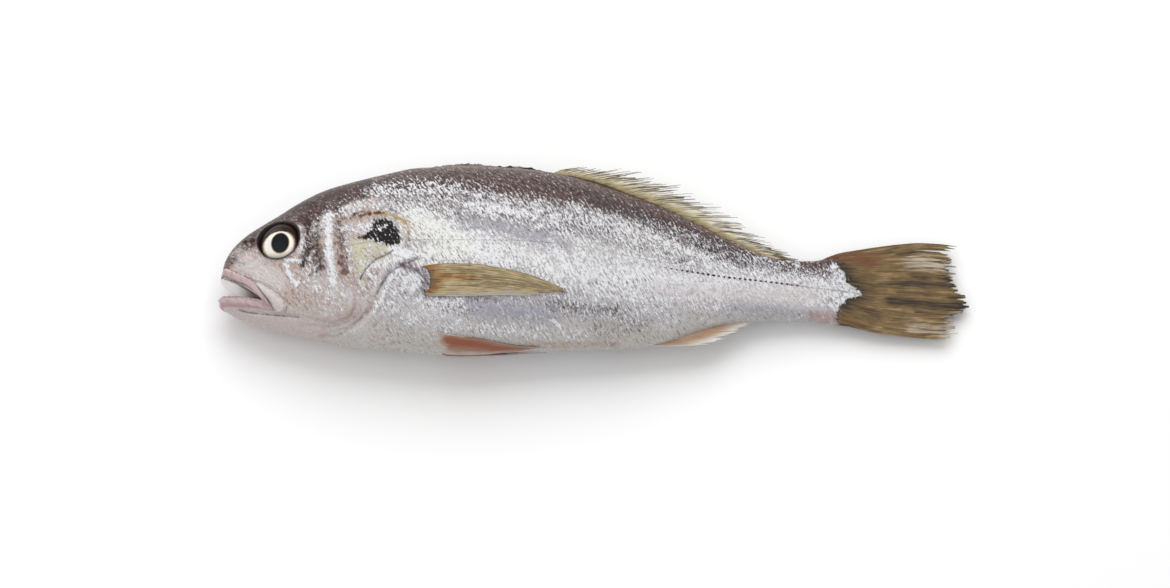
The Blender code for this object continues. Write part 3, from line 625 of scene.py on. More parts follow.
def wet_silver_skin():
    """Wet fish skin: purple-brown or lilac-grey flesh under clear slime, and over it guanine, the fish's own silver
    leaf, which lies in ragged flakes across the scales and stands out white wherever light reaches it. Light and shade
    are painted into it too: pure white glints as highlights, shade in the folds and behind the shoulder, and a lighter
    belly against the shade underneath."""
    made, tree, shader = new_material("wet_silver_fish_skin")
    names = ("dark", "upper", "under", "head", "body", "soot", "pore_line", "eye_ring", "fin_root", *ZONES)
    held = {name: add(tree, "Attribute", out="Fac", attribute_name=name) for name in names}
    place = add(tree, "Attribute", out="Vector", attribute_name="skin_mm")
    # Grain 0.9 mm, coarser than real pigment cells so that it shows. Flakes 2.2 by 0.85 mm and scratches 3.2 by 0.55 mm
    # lean back and down as the rows of scales do; clumps of flakes are 6 mm, cloudy patches 13 mm.
    held.update(patterns_on(tree, place, (
        ("grain", 0.9, 0.9, 0, 3.0, 0.6), ("mottle", 2.4, 2.0, -60, 3.0, 0.6), ("flake", 2.2, 0.85, -62, 3.0, 0.6),
        ("clump", 6.0, 3.6, -58, 2.0, 0.55), ("patch", 13.0, 10.0, 0, 2.0, 0.5), ("scratch", 3.2, 0.55, -50, 2.0, 0.5),
        ("blade", 2.8, 0.75, -76, 2.0, 0.5))))
    # The lattice of scales, a little shaken: dark hearts and the light rims on their rear edges
    split = add(tree, "SeparateXYZ", {0: place})
    wobble = add(tree, "TexNoise", {"Vector": place, "Scale": 0.16, "Detail": 1.0}, "Color")
    column = add(tree, "Math", {0: split.outputs[0], 1: 2 / SCALE_LENGTH}, 0, operation="MULTIPLY")
    half = add(tree, "Math", {0: column, 1: 0.5}, 0, operation="MULTIPLY")
    row = add(tree, "Math", {0: split.outputs[1], 1: 0.5 / SCALE_ROW, 2: half}, 0, operation="MULTIPLY_ADD")
    lattice = add(tree, "CombineXYZ", {0: column, 1: row}, 0)
    shake = add(tree, "VectorMath", {0: wobble, 1: (0.5, 0.5, 0.5)}, 0, operation="SUBTRACT")
    lattice = add(tree, "VectorMath", {0: shake, 1: (1.6, 1.6, 0), 2: lattice}, 0, operation="MULTIPLY_ADD")
    cell = add(tree, "TexVoronoi", {"Vector": lattice, "Randomness": 0.4}, voronoi_dimensions="2D")
    held["cell"] = cell.outputs["Distance"]
    held["chance"] = add(tree, "SeparateColor", {0: cell.outputs["Color"]}, 0)
    # Pores of the lateral line
    held["x"] = split.outputs[0]
    beat = weighted(tree, held, {"grain": 0.9, "x": 2 * math.pi / PORE_SPACING})
    held["beat"] = add(tree, "Math", {0: beat}, 0, operation="SINE")
    held["far"] = add(tree, "MapRange", {"Value": split.outputs[0], "From Min": 172.0, "From Max": 186.0}, 0)
    held["near_tail"] = add(tree, "MapRange", {"Value": split.outputs[0], "From Min": 228.0, "From Max": 238.0}, 0)
    # How much silver lies here
    level = held["level"] = weighted(tree, held, {"silver": 2.75, "flake": 1.35, "blade": 0.4, "mottle": 0.3,
                                                  "clump": 0.4, "patch": 0.2, "grain": 0.5})
    shown = add(tree, "MapRange", {"Value": level, "From Min": 0.95, "From Max": 1.75}, 0)
    calm = add(tree, "MapRange", {"Value": held["smooth"], "To Min": 1.0, "To Max": 0.45}, 0)
    shown = held["shown"] = add(tree, "Math", {0: shown, 1: calm}, 0, operation="MULTIPLY")

    colour = paint_over(tree, linear("#a19fa4"), held, (
        ("#7f7c84", None, {"patch": 0.5, "mottle": 0.5, "flake": 0.4}, -0.3, 1.3),
        ("#bda89e", "head", {"head": 1.0, "mottle": 0.3}, 0.1, 1.0),
        ("#7b5645", "head", {"head": 0.4, "mottle": 0.6, "flake": -0.5, "grain": 0.6}, 0.4, 1.5),
        ("#5d4b4d", "upper", {"upper": 1.4, "mottle": 0.3, "flake": 0.3}, 0.1, 1.0),
        # Pale belly and chin, lightened further as painted light against the shade on the underside
        ("#c4bfb9", "under", {"under": 1.0, "mottle": 0.3, "flake": 0.2}, 0.05, 1.1),
        ("#cfcccb", "pale", {"pale": 1.0, "mottle": 0.25, "flake": 0.25}, 0.1, 1.0),
        ("#a2a1ac", "band", {"band": 1.2, "mottle": 0.1}, 0.1, 1.2),
        ("#47332f", "dark", {"dark": 1.6, "flake": 0.5, "mottle": 0.4}, 0.25, 1.05),
        ("#2e1b18", "deep", {"deep": 1.9, "mottle": 0.8, "clump": 0.4, "flake": 0.5}, 0.5, 1.6),
        ("#8f7b79", "dark", {"dark": 0.5, "scratch": 0.9, "flake": 0.6, "grain": 0.3}, 0.4, 1.3),
        ("#2a1815", "dark", {"dark": 0.3, "scratch": -0.8, "blade": 0.5, "clump": 0.3}, 0.55, 1.5),
        ("#d2cfd2", None, {"level": 1.0, "dark": -0.9, "deep": -0.6}, 0.1, 1.9),
        ("#a87b72", "pink", {"pink": 1.1, "mottle": 0.35}, 0.15, 1.3),
        ("#ccc8ae", "moss", {"moss": 1.3, "mottle": 0.3}, 0.1, 1.1)))
    silver = paint_over(tree, linear("#f0f0f4"), held, (
        ("#f2f2ec", None, {"cream": 1.0}, 0.1, 1.2),
        ("#b4b0b6", None, {"grain": -0.7, "scratch": -0.5, "blade": 0.3}, 0.1, 1.4)))
    colour = add(tree, "Mix", {0: shown, 6: colour, 7: silver}, 2, data_type="RGBA")
    colour = paint_over(tree, colour, held, (
        # Painted highlights: pure white glints where the flakes and grain are strongest
        ("#ffffff", None, {"flake": 0.7, "grain": 0.9, "shown": 0.5}, 1.1, 1.7),
        ("#564b4d", "body", {"flake": -0.8, "grain": -0.9, "dark": -1.0, "smooth": -0.6, "pale": -0.2}, 0.8, 1.7),
        ("#786862", "body", {"scratch": -1.0, "flake": -0.5, "dark": -0.8, "smooth": -0.5}, 0.4, 1.5),
        ("#6d5750", "head", {"scratch": -0.8, "grain": -0.6, "head": 0.1, "smooth": -0.8, "pale": -0.5, "shown": -0.3},
         0.4, 1.5),
        ("#3a2320", "head", {"deep": 1.1, "blade": 0.5, "mottle": 0.5, "head": 0.1}, 0.6, 1.45),
        ("#4d3c3d", "upper", {"upper": 0.7, "blade": 0.8, "scratch": -0.4, "dark": -0.6}, 0.7, 1.6),
        ("#d8cdcb", "smooth", {"smooth": 1.0, "grain": 0.3, "mottle": 0.3, "head": -0.1}, 0.3, 1.35),
        ("#3f3236", "speckled", {"speckled": 1.0, "cell": -1.3, "chance": 0.8, "flake": -0.2}, 0.4, 0.9),
        # Purple over the snout, and painted shade behind the shoulder at the pectoral fin's root
        ("#5d4c5a", "purple_and_shoulder_shade", {"purple_and_shoulder_shade": 1.2, "mottle": 0.45, "flake": -0.3}, 0.25, 1.5),
        ("#b09260", "amber", {"amber": 1.2, "mottle": 0.6, "flake": -0.5}, 0.25, 1.5),
        ("#5c3420", "rust", {"rust": 1.3, "mottle": 0.7, "flake": -0.5}, 0.4, 1.3),
        ("#100c0b", "soot", {"soot": 1.6, "silver": -1.2, "flake": -1.0, "mottle": 0.4, "blade": -0.4}, 0.5, 1.0),
        # Painted shade in the folds and pits, and under the gill cover's edge
        ("#503c37", "fold_shade", {"fold_shade": 1.0, "mottle": 0.2, "grain": 0.1}, 0.3, 1.15),
        ("#5f4034", "thread", {"thread": 1.0}, 0.1, 1.2),
        ("#45251d", None, {"pore_line": -3.2, "beat": 0.9, "far": 1.6, "near_tail": -2.0, "mottle": 0.5, "grain": 0.4},
         0.7, 1.3),
        ("#1d100d", None, {"eye_ring": -1.0, "grain": 0.15}, -9.3, -8.6),
        ("#4a3a2c", None, {"fin_root": 1.0, "mottle": 1.4, "flake": 1.4}, -1.0, 0.6)))
    # Relief too fine for the mesh: lifted flakes and scratches, about 0.2 mm
    height = weighted(tree, held, {"scratch": 0.5, "shown": 0.8, "grain": 0.5})
    set_inputs(tree, shader, {
        "Base Color": colour, "Specular IOR Level": 0.35, "Coat Weight": 0.12, "Coat Roughness": 0.12,
        "Metallic": add(tree, "Math", {0: shown, 1: 0.2}, 0, operation="MULTIPLY"),
        "Roughness": add(tree, "MapRange", {"Value": held["grain"], "From Min": -1.0, "To Min": 0.25,
                                            "To Max": 0.48}, 0),
        "Normal": add(tree, "Bump", {"Height": height, "Strength": 1.0, "Distance": 0.24 * MM}, 0)})
    return made


def soft_pink_flesh():
    """Wet lip: thin pink-white skin stretched over gristle, with fine vessels showing through. Each lip is painted
    lighter along its top as light and darker along its bottom as shade, and dark red-brown on the side facing the
    mouth's gap: painted shade under the upper lip, the lower lip's own red rim.
    """
    made, tree, shader = new_material("wet_lip_flesh")
    place = add(tree, "Attribute", out="Vector", attribute_name="lip_mm")
    held = patterns_on(tree, place, (("grain", 0.8, 0.8, 0, 3.0, 0.6), ("vein", 3.4, 0.6, -35, 3.0, 0.6),
                                     ("blush", 5.0, 2.0, -30, 2.0, 0.5)))
    held["across"] = add(tree, "SeparateXYZ", {0: place}, 1)
    held["inner"] = add(tree, "Attribute", out="Fac", attribute_name="inner")
    colour = paint_over(tree, linear("#b9a3a4"), held, (
        ("#a5878a", None, {"blush": 1.0, "vein": 0.4}, -0.5, 1.3),
        # Painted light: lighter along the top of each lip
        ("#e2dada", None, {"across": 0.9, "grain": 0.5}, 0.8, 2.2),
        ("#8d6366", None, {"vein": 1.0, "grain": 0.4}, 0.4, 1.5),
        # Painted shade: darker along the bottom of each lip
        ("#a5767a", None, {"across": -0.9, "vein": 0.3}, 0.7, 2.2),
        # Dark red-brown on the gap side: painted shade under the upper lip, the lower lip's own red rim
        ("#4a2420", None, {"inner": 1.0, "grain": 0.15}, 0.42, 0.78)))
    set_inputs(tree, shader, {
        "Base Color": colour, "Roughness": 0.36, "Coat Weight": 0.3, "Coat Roughness": 0.15,
        "Normal": add(tree, "Bump", {"Height": held["vein"], "Strength": 0.4, "Distance": 0.12 * MM}, 0)})
    return made


def mouth_lining():
    """The inside of the mouth: wet membrane, dark red at the corner. Its colour also paints light and shade: near white
    at the front of the jaws as painted light, greyer further back as painted shade deeper in, and a dark red-brown band
    just under the left lip as painted shade from the lip."""
    made, tree, shader = new_material("wet_mouth_lining")
    place = add(tree, "TexCoord", out="Object")
    held = {"grain": add(tree, "TexNoise", {"Vector": place, "Scale": 300.0, "Detail": 3.0}, "Fac")}
    split = add(tree, "SeparateXYZ", {0: place})
    for name, low, high in (("back", 7, 15), ("corner", 10.5, 16), ("along", 0, 20)):
        held[name] = add(tree, "MapRange", {"Value": split.outputs[0], "From Min": (low - MIDDLE[0]) * MM,
                                            "From Max": (high - MIDDLE[0]) * MM}, 0)
    # Height near the left rim: on the solid skin it runs about along z = 18.6 + 0.38 x, and the painted shade under the
    # lip reaches 3.5 mm down
    held["high"] = add(tree, "MapRange", {"Value": split.outputs[2], "From Min": 15.1 * MM, "From Max": 18.1 * MM}, 0,
                       clamp=False)
    # Painted light and shade: near white at the front, grey further back, dark red-brown under the lip; the red at the
    # corner is the membrane's own
    colour = paint_over(tree, linear("#fbf8f8"), held, (
        ("#8f888a", None, {"back": 1.0, "grain": 0.2}, 0.1, 1.1),
        ("#8a3f38", None, {"corner": 1.0, "grain": 0.5}, 0.3, 0.9),
        ("#3c1a16", None, {"high": 1.0, "along": -2.5, "grain": 0.6}, 0.6, 1.1)))
    set_inputs(tree, shader, {"Base Color": colour, "Roughness": 0.3})
    return made


def fin_material(name, web, layers):
    """Damp fin: horny rays with thin web between them. Its patterns run along the rays; fin_mm holds millimetres
    along and across them, and ray, stain, tint and pale say where the rays and the painted strokes lie."""
    made, tree, shader = new_material(name)
    place = add(tree, "Attribute", out="Vector", attribute_name="fin_mm")
    held = {key: add(tree, "Attribute", out="Fac", attribute_name=key) for key in ("ray", "stain_and_shade", "tint", "pale")}
    # Cloudy blotches 5 mm, streaks of pigment 12 by 0.9 mm along the rays, threads of the split rays 0.42 mm
    held.update(patterns_on(tree, place, (("cloud", 5.0, 3.0, 0, 3.0, 0.6), ("streak", 12.0, 0.9, 0, 3.0, 0.6),
                                          ("fibre", 9.0, 0.42, 0, 2.0, 0.6), ("grain", 0.8, 0.5, 0, 3.0, 0.6))))
    set_inputs(tree, shader, {
        "Base Color": paint_over(tree, linear(web), held, layers), "Roughness": 0.42, "Coat Weight": 0.2,
        "Coat Roughness": 0.2,
        "Normal": add(tree, "Bump", {"Height": held["fibre"], "Strength": 0.6, "Distance": 0.1 * MM}, 0)})
    return made


def eye_material():
    """A wet eyeball under clear cornea: black pupil, cream iris darkening to a brown rim and painted greyer towards its
    bottom as shade, and a black band over its top that is painted shade under the orbit's upper rim.
    """
    made, tree, shader = new_material("wet_fish_eye")
    place = add(tree, "Attribute", out="Vector", attribute_name="eye_mm")
    held = {"grain": add(tree, "TexNoise", {"Vector": place, "Scale": 0.9, "Detail": 3.0}, "Fac"),
            "up": add(tree, "SeparateXYZ", {0: place}, 1)}
    # Each part's centre and radii in millimetres: the distance from its centre is 1 on its edge
    for part, centre, radii in (("iris", (-0.75, -2.1), (6.35, 6.0)), ("pupil", (-0.15, -1.6), (3.35, 3.95)),
                                ("crescent", (0.2, -4.0), (9.0, 7.4))):
        moved = add(tree, "Mapping", {"Vector": place, "Location": (*centre, 0), "Scale": (*radii, 1)}, 0,
                    vector_type="TEXTURE")
        held[part] = add(tree, "VectorMath", {0: moved}, "Value", operation="LENGTH")
    colour = paint_over(tree, linear("#ebe8e4"), held, (
        ("#f7efe0", None, {"iris": 1.0, "grain": 0.12}, 0.68, 0.96),
        # Painted shade: the iris greyer towards its bottom
        ("#b3aea4", None, {"up": 1.0}, -5.0, -8.0),
        ("#7b5f49", None, {"iris": 1.0, "grain": 0.12}, 0.93, 1.09),
        ("#271812", None, {"iris": 1.0, "grain": 0.12}, 1.06, 1.2),
        # Painted shade: black over the top of the eyeball, under the orbit's upper rim
        ("#20140f", None, {"crescent": 1.0, "grain": 0.1}, 1.01, 1.09),
        ("#9a8a68", None, {"pupil": 1.0}, 1.16, 1.08),
        ("#101216", None, {"pupil": 1.0}, 1.06, 1.0)))
    set_inputs(tree, shader, {"Base Color": colour, "Roughness": 0.45, "IOR": 1.34, "Specular IOR Level": 0.3,
                              "Coat Weight": 0.12, "Coat Roughness": 0.06})
    return made


def tooth_enamel():
    """Tooth enamel as it grows: smooth, hard and a little yellow."""
    made, tree, shader = new_material("tooth_enamel")
    set_inputs(tree, shader, {"Base Color": linear("#ece4d6"), "Roughness": 0.3})
    return made


# ---- Pieces ----

def add_skin(material, lining):
    """The skin in two pieces. The front edge of the body's tucks under the rear edge of the head's."""
    front = 30 * np.linspace(0, 1, 115)**1.7
    head_rows = np.concatenate([front, np.linspace(30, 90, 146)[1:]])
    body_rows = np.linspace(84, BODY_END, 292)
    right = 100
    for name, rows, left, under in (("head_skin", head_rows, 190, 0.0), ("body_skin", body_rows, 200, 0.08)):
        x, turn = body_grid(rows, left, right)
        plain = skin(x, turn)
        lift = skin_relief(x.ravel(), turn.ravel(), plain.reshape(-1, 3)).reshape(x.shape)
        lift -= under * (1 - ease(88.5, 90.5, x))
        around = np.roll(plain, -1, axis=1) - np.roll(plain, 1, axis=1)
        normal = unit(np.cross(around, np.gradient(plain, axis=0)))
        outward = np.sum(normal * (plain - np.stack([x, 0.5 * (back(x) + belly(x)), spine(x)], axis=-1)), axis=-1)
        normal *= np.sign(np.median(outward))
        points = plain + normal * lift[..., None]
        points[..., 2] = np.maximum(points[..., 2], 0.0)
        piece = make_piece(name, points.reshape(-1, 3), grid_faces(len(rows), left + right), material,
                           replaces=("fish",))
        if name == "head_skin":
            open_mouth(piece, lining)
        paint_skin(piece)


def open_mouth(head, lining):
    """Cuts the mouth's gap through the snout and hollows the mouth behind it."""
    head.data.materials.append(lining)
    outline = smooth_outline(MOUTH_GAP, 3)
    count = len(outline)
    sheets = [np.column_stack([outline, np.full(count, z)]) for z in (-25, 55)]
    faces = [tuple(range(count)), tuple(range(count, 2 * count))]
    faces += [(k, (k + 1) % count, count + (k + 1) % count, count + k) for k in range(count)]
    wedge = bpy.data.meshes.new("mouth_wedge")
    wedge.from_pydata(placed(np.vstack(sheets)).tolist(), [], faces)
    ball = bmesh.new()
    bmesh.ops.create_uvsphere(ball, u_segments=32, v_segments=20, radius=1.0)
    (x, y), radii = MOUTH_CAVITY
    for vertex in ball.verts:
        vertex.co = placed([x, y, float(spine(x))] + np.array(vertex.co) * radii)
    hollow = bpy.data.meshes.new("mouth_hollow")
    ball.to_mesh(hollow)
    ball.free()
    for mesh in (wedge, hollow):
        face_outward(mesh)
        mesh.materials.append(lining)
        cutter = put_in_scene(mesh.name, mesh)
        cut = head.modifiers.new("Mouth", "BOOLEAN")
        cut.operation = "DIFFERENCE"
        cut.solver = "MANIFOLD"
        cut.material_mode = "TRANSFER"
        cut.object = cutter
        graph = bpy.context.evaluated_depsgraph_get()
        head.data = bpy.data.meshes.new_from_object(head.evaluated_get(graph))
        head.modifiers.clear()
        bpy.data.objects.remove(cutter)


def sweep_lip(name, line, radii, outward, material, flat):
    """A lip along points, as tall as its radii and flattened along the outward directions given."""
    along = unit(np.gradient(line, axis=0))
    lift = unit(outward - along * np.sum(outward * along, axis=1, keepdims=True))
    across = np.cross(along, lift)
    angle = np.linspace(0, 2 * math.pi, LIP_SIDES, endpoint=False)
    ring = 1 + 0.04 * np.cos(3 * angle)
    points = (line[:, None] + across[:, None] * (np.cos(angle) * ring)[None, :, None] * radii[:, None, None]
              + lift[:, None] * (np.sin(angle) * ring * flat)[None, :, None] * radii[:, None, None])
    return make_piece(name, points.reshape(-1, 3), grid_faces(len(line), LIP_SIDES), material)


def resample(line, count):
    """count points evenly along a smooth curve through the given ones."""
    line = np.asarray(line, float)
    place = lengths_along(line)
    at = np.linspace(0, place[-1], count)
    return np.stack([through(list(zip(place, line[:, k])))(at) for k in range(line.shape[1])], axis=1)


def add_lips(material, enamel):
    """Both lips, each round both sides of its jaw, and the small teeth of the upper jaw."""
    ends = np.array((0.4, 0.65, 0.85, 0.95))
    for name, line, tip_x, depth in (("upper_lip", UPPER_LIP, 2.6, 0.62), ("lower_lip", LOWER_LIP, 2.0, 0.8)):
        flank = resample(line, LIP_SAMPLES)
        sunk = -0.3 * flank[:, 2]
        left = on_flank(flank[:, 0], flank[:, 1], 1, sunk)
        right = on_flank(flank[:, 0], flank[:, 1], -1, sunk)
        tip = [[tip_x, flank[0, 1] + 0.1, float(spine(flank[0, 0]))]]
        path = resample(np.vstack([left[::-1], tip, right]), LIP_STEPS)
        share = np.abs(np.linspace(-1, 1, LIP_STEPS))
        radii = np.interp(share, np.linspace(0, 1, LIP_SAMPLES), flank[:, 2])
        radii[:4] *= ends
        radii[-4:] *= ends[::-1]
        axis = np.column_stack([path[:, 0] + 7, path[:, 1], spine(path[:, 0])])
        piece = sweep_lip(name, path, radii, path - axis, material, depth)
        points = points_of(piece)
        across = points[:, 1] - np.repeat(path[:, 1], LIP_SIDES)
        set_values(piece, "lip_mm", np.column_stack([points[:, 0], across, points[:, 2]]))
        # Where a lip faces the mouth's gap: there the upper lip gets painted shade and the lower lip its red rim
        set_values(piece, "inner", across / np.repeat(radii, LIP_SIDES) * (-1 if name == "upper_lip" else 0.92))
    corners = 6
    angles = [k * math.pi / 3 for k in range(corners)]
    points, faces = [], []
    for side in (1, -1):
        for tx, ty in resample([(2.6, -0.2), (5.0, -1.5), (8.0, -3.2), (11.0, -5.3)], 14):
            root = on_flank(np.array(tx), np.array(ty), side, -0.9)
            base = len(points)
            points += [root + np.array([0.26 * math.cos(a), 0.5, 0.26 * math.sin(a)]) for a in angles]
            points.append(root + np.array([0.0, -0.9, 0.0]))
            faces += [(base + k, base + (k + 1) % corners, base + corners) for k in range(corners)]
            faces.append(tuple(base + k for k in range(corners)))
    make_piece("teeth", np.array(points), faces, enamel, smooth=False)


def flank_frame(x, y, side, sunk):
    """A matrix at (x, y) of a flank, sunk below the skin, whose Z is the way the flank faces."""
    step = 1.5
    along = on_flank(x + step, y, side) - on_flank(x - step, y, side)
    across = on_flank(x, y + step, side) - on_flank(x, y - step, side)
    normal = np.cross(along, across)
    normal /= np.linalg.norm(normal)
    normal = Vector(normal if normal[2] * side > 0 else -normal)
    turn = normal.to_track_quat("Z", "Y").to_matrix().to_4x4()
    return Matrix.Translation(Vector(on_flank(x, y, side)) - normal * sunk) @ turn


def add_eyes(material):
    for side, word in ((1, "left"), (-1, "right")):
        matrix = flank_frame(EYE_AT[0], EYE_AT[1], side, EYE_SUNK)
        ball = bmesh.new()
        bmesh.ops.create_uvsphere(ball, u_segments=96, v_segments=64, radius=1.0)
        local = np.array([v.co for v in ball.verts]) * EYE_RADII
        faces = [tuple(v.index for v in f.verts) for f in ball.faces]
        ball.free()
        radius = np.hypot(local[:, 0], local[:, 1])
        local[:, 2] += np.where(local[:, 2] > 0, 0.45 * (1 - ease(2.6, 4.6, radius)), 0)
        world = np.array([matrix @ Vector(p) for p in local])
        piece = make_piece(f"eyeball_{word}", world, faces, material, replaces=(f"eye_{word}",))
        flank_mm = world - np.array(matrix.to_translation())
        set_values(piece, "eye_mm", np.column_stack([flank_mm[:, 0], flank_mm[:, 1], np.zeros(len(world))]))


def fin_leaf(name, place, size, rays, along, material, thickness, ridge, notch=0.1, fray=0.03, slits=(), branches=2,
             per_ray=8, lift=(0, 0, 1), cover=None, paint=None):
    """A closed fin of the given length and width: place(v, u) gives its middle sheet, v across the rays and u along
    them, and ridged rays stand on both faces. The rays branch towards the tip, the web between two of them stops
    short by the notch, tips are frayed, and slits are torn as (v, width, depth). cover gives the least half
    thickness."""
    across = rays * per_ray + 1
    v = np.linspace(0, 1, across)
    tooth = 0.5 - 0.5 * np.cos(2 * math.pi * v * rays)
    small = 0.5 - 0.5 * np.cos(2 * math.pi * v * rays * branches)
    u = np.linspace(0, 1, along)
    vv, uu = np.meshgrid(v, u, indexing="ij")
    length = 1 - notch * (0.62 * tooth + 0.38 * small)
    scatter = np.random.RandomState(sum(map(ord, name)))
    for per, share in ((1, 0.4), (branches, 0.6), (branches * 2, 0.5)):
        knots = rays * per + 1
        length += fray * share * np.interp(v, np.linspace(0, 1, knots), scatter.uniform(-2, 1, knots))
    for at, width, depth in slits:
        length -= depth * np.exp(-((v - at) / width)**2)
    reach = uu * length[:, None]
    middle = place(vv, reach)
    ray = (1 - tooth)[:, None] * (1 - 0.6 * uu) + (1 - small)[:, None] * 0.6 * uu
    thick = thickness * (1 - 0.72 * uu) * 0.5 + ridge * ray * (1 - 0.55 * uu)
    if cover is not None:
        thick = np.maximum(thick, cover(middle) + ridge * ray)
    normal = unit(np.cross(np.gradient(middle, axis=0), np.gradient(middle, axis=1)))
    normal *= np.where(np.sum(normal * np.array(lift), axis=-1, keepdims=True) < 0, -1, 1)
    top = (middle + normal * thick[..., None]).reshape(-1, 3)
    bottom = (middle - normal * thick[..., None]).reshape(-1, 3)
    a = (np.arange(across - 1)[:, None] * along + np.arange(along - 1)[None]).ravel()
    upper = np.stack([a, a + 1, a + along + 1, a + along], axis=1)
    lower = upper[:, ::-1] + across * along
    loop = ([(i, 0) for i in range(across)] + [(across - 1, j) for j in range(1, along)]
            + [(i, along - 1) for i in range(across - 2, -1, -1)] + [(0, j) for j in range(along - 2, 0, -1)])
    edge = [i * along + j for i, j in loop]
    count = across * along
    walls = [(p, q, q + count, p + count) for p, q in zip(edge, edge[1:] + edge[:1])]
    faces = [tuple(f) for f in upper.tolist()] + [tuple(f) for f in lower.tolist()] + walls
    points = np.vstack([top, bottom])
    points[:, 2] = np.maximum(points[:, 2], 0.02)
    piece = make_piece(name, points, faces, material)
    spot = np.column_stack([reach.ravel() * size[0], vv.ravel() * size[1], np.zeros(count)])
    set_values(piece, "fin_mm", np.vstack([spot, spot]))
    set_values(piece, "ray", np.tile(ray.ravel(), 2))
    for key in ("stain_and_shade", "tint", "pale"):
        shade = np.zeros(count)
        for strength, line, width in (paint or {}).get(key, ()):
            shade = np.maximum(shade, strength * stroke(line, width, reach.ravel(), vv.ravel()))
        set_values(piece, key, np.tile(shade, 2))
    return piece


def add_pectoral_fins(material):
    top = through([(78, -3.8), (80.5, -2.6), (83, -1.6), (87.8, -1), (92.9, -0.8), (104, -1), (110, -1.9), (117.4, -3),
                   (125.4, -5), (132.9, -7.6), (140.9, -10.6)])
    bottom = through([(78, -8.6), (83, -13.2), (96.6, -13.4), (117, -12.8), (130, -12.9), (136, -12.5), (140.9, -11.6)])
    tip_x = through([(0, 139.4), (0.35, 141), (0.7, 136), (1, 124)])
    root_x = through([(-14, 82.2), (-12.4, 83.6), (-10.5, 84.8), (-7, 85.2), (-3.4, 84), (-1.4, 80.6), (0, 79.6)])
    paint = {"tint": [(1.0, [(0.06, 0), (0.08, 0.5), (0.06, 1)], 0.09), (0.8, [(0.1, 0.35), (0.32, 0.45)], 0.13)],
             "stain_and_shade": [(0.9, [(0, 0), (1, 0)], 0.03), (0.6, [(0.3, 0.2), (0.5, 0.35), (0.95, 0.6)], 0.14),
                       (0.6, [(0.55, 0.6), (1, 0.6)], 0.2), (1.0, [(0.06, 0.1), (0.085, 0.45), (0.07, 0.9)], 0.022)],
             "pale": [(0.9, [(0.3, 1.06), (0.6, 1.02), (1, 1.0)], 0.2)]}
    for side, word in ((1, "left"), (-1, "right")):

        def place(v, u):
            x = (79.5 + 1.5 * np.sin(math.pi * v)) * (1 - u) + tip_x(v) * u
            y = top(x) * (1 - v) + bottom(x) * v
            return on_flank(x, y, side, -1.3 + 1.85 * ease(-1.2, 0.9, x - root_x(y)))

        fin_leaf(f"pectoral_{word}", place, (60, 12), 16, 120, material, 0.5, 0.07, notch=0.03, fray=0.04, branches=3,
                 per_ray=12, lift=(0, 0, side), paint=paint)


def add_pelvic_fins(material):
    top_turn = through([(82.4, 149), (86.4, 149.5), (94, 151.5), (105, 155.5), (115, 163), (123, 168), (133, 171)])
    low_turn = through([(82.4, 176), (89, 179), (105, 179), (118, 176), (133, 173)])
    # On the pelvic fins the pale stroke along the top edge at the root is a painted highlight, and the dark stroke
    # along the lower edge is painted shade
    paint = {"tint": [(1.0, [(0.06, 0.25), (0.3, 0.25), (0.75, 0.45)], 0.3)],
             "pale": [(1.0, [(0, 0), (0.3, 0)], 0.045), (0.9, [(0.1, 0.85), (0.6, 0.9)], 0.2),
                      (0.5, [(0.9, 0), (1, 0.6)], 0.15), (1.2, [(0.08, 0), (0.1, 1)], 0.08)],
             "stain_and_shade": [(0.8, [(0.15, 1), (0.8, 1)], 0.1)]}
    for side, word in ((1, "left"), (-1, "right")):

        def place(v, u):
            x = (82.8 + 3 * v) * (1 - u) + (131 - 8 * v) * u
            turn = top_turn(x) * (1 - v) + low_turn(x) * v
            lift = -1.0 + 1.5 * ease(0, 0.16, u - 0.03 * np.sin(9 * v))
            return skin(x, turn if side > 0 else 360 - turn, lift)

        fin_leaf(f"pelvic_{word}", place, (44, 14), 6, 70, material, 0.45, 0.06, notch=0.02, fray=0.03, branches=3,
                 per_ray=12, lift=(0, -1, 0.3 * side), paint=paint)


